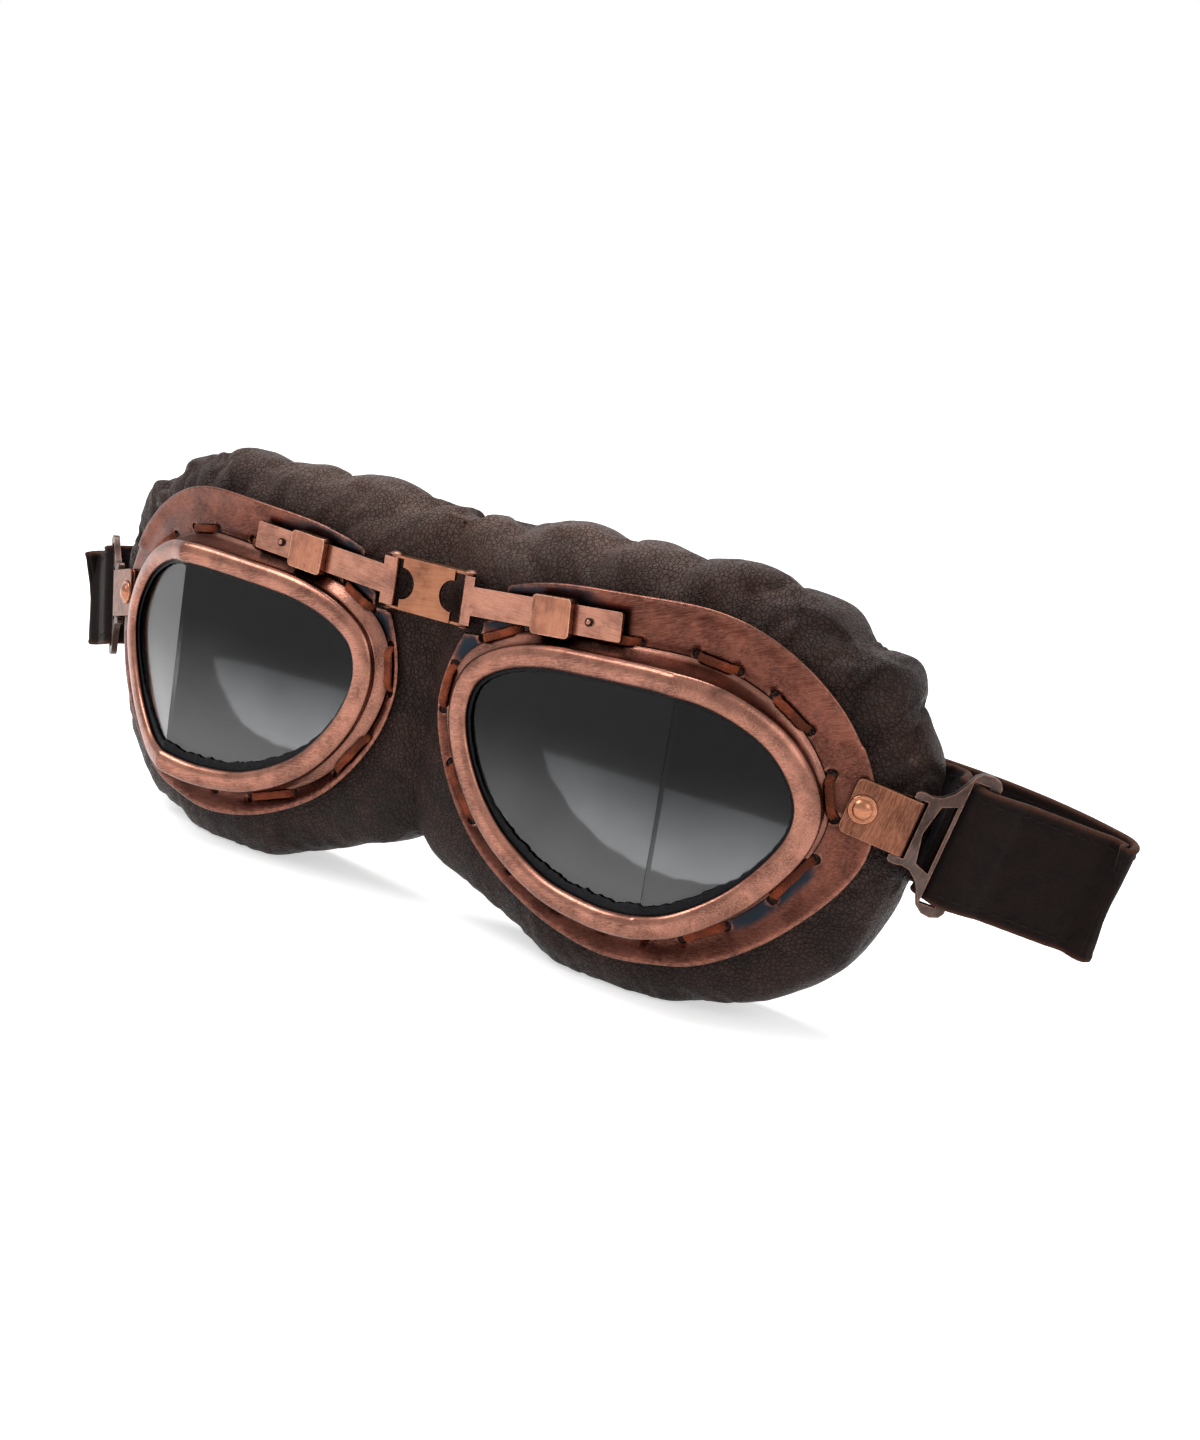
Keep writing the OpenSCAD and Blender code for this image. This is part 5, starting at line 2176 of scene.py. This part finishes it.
# Profiles of the turned pieces: radius and height from the top's middle to the bottom's.
RIVET_HEAD = (
    (0, 2.99), (0.5, 2.96), (1.0, 2.86), (1.5, 2.64), (1.85, 2.36), (2.0, 2.14), (2.12, 2.06),
    (2.3, 2.08), (2.5, 2.14), (2.72, 2.08), (2.88, 1.9), (2.9, 1.72), (1.2, 1.69), (1.2, -1.0),
    (0, -1.0))
STOP_RING = ((0, 0.52), (0.72, 0.53), (0.84, 0.47), (0.89, 0.3), (0.89, -0.1), (0, -0.1))
STOP_BALL = ((0, 0.94), (0.24, 0.9), (0.44, 0.8), (0.56, 0.67), (0.61, 0.48), (0, 0.4))
STOP_OUT = 31


class Goggles:
    """The whole pair, dressed body by body."""

    def __init__(self) -> None:
        """Prepare the finishes and the lace tree."""
        self.finish = Finishes()
        self.thong = FlatLace()

    def settle(self, piece: bpy.types.Object, body: str, slot: str, *nodes: str) -> None:
        """Give a piece to its body and hide the nodes it stands for.

        Args:
            piece: The finished piece.
            body: The body that it rides on.
            slot: Not used.
            nodes: The nodes that it replaces.
        """
        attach(piece, body)
        if nodes:
            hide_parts(*nodes)
        log.info("%s rides on %s", piece.name, body)

    def solid(self, node: str, material: bpy.types.Material, body: str, slot: str,
              edge: float) -> None:
        """Dress one hard node.

        Args:
            node: The node's name.
            material: Its finish.
            body: The body that it rides on.
            slot: Not used.
            edge: How far its edges are rounded, in millimetres.
        """
        piece = dress(Fitting(node, edge).build(), material)
        self.settle(piece, body, slot)

    def bridge(self) -> None:
        """Dress the link and the two pins."""
        self.solid("bridge_link", self.finish.link, "bridge", "copper", 0.12)
        for side in Side:
            self.solid(f"hinge_pin_{side.word}", self.finish.pin, "bridge", "copper", 0.08)

    def cup(self, side: Side) -> None:
        """Dress one eye cup and its arm.

        Args:
            side: The cup's side.
        """
        word = side.word
        body = f"cup_{word}"
        cup = EyeCup(side)
        self.settle(dress(cup.flange(), self.finish.brim), body, "copper", f"flange_{word}")
        self.settle(dress(cup.bezel(), self.finish.rim), body, "copper", f"bezel_{word}")
        self.settle(dress(cup.gasket(), self.finish.rubber), body, "gasket_rubber",
                    f"gasket_{word}")
        lace = self.thong.lay(cup.lace_paths(), f"lace_{word}_thong", self.finish.lace,
                              Width=cup.lace_wide * MM, Thickness=cup.lace_thick * MM,
                              Corner=0.22 * MM, Unevenness=0.08)
        self.settle(lace, body, "lace_leather", f"lace_{word}")
        for pane in ("front", "side"):
            dress(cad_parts[f"lens_{pane}_{word}"], self.finish.glass)
        dress(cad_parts[f"retainer_{word}"], self.finish.steel)
        self.solid(f"keeper_{word}", self.finish.keeper, body, "copper", 0.5)
        forward = Vector(PLAN.fitting((0, -1, 0))) - Vector(PLAN.rivet)
        rivet = lathe(f"rivet_head_{word}", RIVET_HEAD, PLAN.rivet, forward, side)
        self.settle(dress(rivet, self.finish.rivet), body, "copper", f"rivet_{word}")
        self.solid(f"arm_{word}", self.finish.arm, f"arm_{word}", "copper", 0.12)
        stop = PLAN.arm_point((STOP_OUT, 0, 0))
        ahead = Vector((0, -1, 0))
        ring = lathe(f"stop_ring_{word}", STOP_RING, stop, ahead, side)
        ball = lathe(f"stop_ball_{word}", STOP_BALL, stop, ahead, side)
        self.settle(dress(ring, self.finish.rubber), f"arm_{word}", "copper")
        self.settle(dress(ball, self.finish.arm), f"arm_{word}", "copper")

    def mask(self, side: Side) -> None:
        """Make the leather and lining of one side.

        Args:
            side: The side.
        """
        word = side.word
        mask = LeatherMask(side)
        outer, inner = mask.cut_at_arm(mask.leather())
        for part in (outer, inner):
            dress(part, self.finish.leather)
            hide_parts(f"cushion_{word}")
        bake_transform(outer)
        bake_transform(inner)
        self.settle(dress(mask.lining(), self.finish.lining), f"cup_{word}", "lining_fabric",
                    f"lining_{word}")
        log.info("leather of the %s side crosses the arm", word)

    def fittings(self, side: Side) -> None:
        """Dress one tab and buckle.

        Args:
            side: The side that they are on.
        """
        word = side.word
        self.solid(f"tab_{word}", self.finish.tab, f"tab_{word}", "copper", 0.18)
        self.solid(f"buckle_{word}", self.finish.buckle, f"buckle_{word}", "buckle_metal", 0.32)

    def strap(self, side: Side) -> None:
        """Make one half of the band, zone by zone, with its thread.

        Args:
            side: The half's side.
        """
        word = side.word
        half = StrapSide(side)
        stations = half.stations()
        for piece, number in half.build():
            first, last, near, far = half.zones[number]
            thread = self.thong.lay(half.stitch_lines(number), f"thread_{number}_{word}",
                                    self.finish.thread, Width=0.55 * MM, Thickness=0.4 * MM,
                                    Corner=0.15 * MM, Unevenness=0.15)
            dress(piece, self.finish.band)
            start = PLAN.world(stations[first * half.per_knot][0], side)
            end = PLAN.world(stations[last * half.per_knot][0], side)
            for item in (piece, thread):
                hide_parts("strap")
                if near == far:
                    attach(item, side.body(near))
                else:
                    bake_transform(item)
            log.info("band zone %d of the %s side", number, word)


def main() -> None:
    """Build the goggles and the studio in order."""
    logging.basicConfig(level=logging.INFO, format="%(name)s: %(message)s")
    random.seed(7)
    Studio().build()
    goggles = Goggles()
    goggles.bridge()
    for side in Side:
        goggles.cup(side)
        goggles.mask(side)
        goggles.fittings(side)
        goggles.strap(side)
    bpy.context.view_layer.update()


if __name__ == "__main__":
    main()
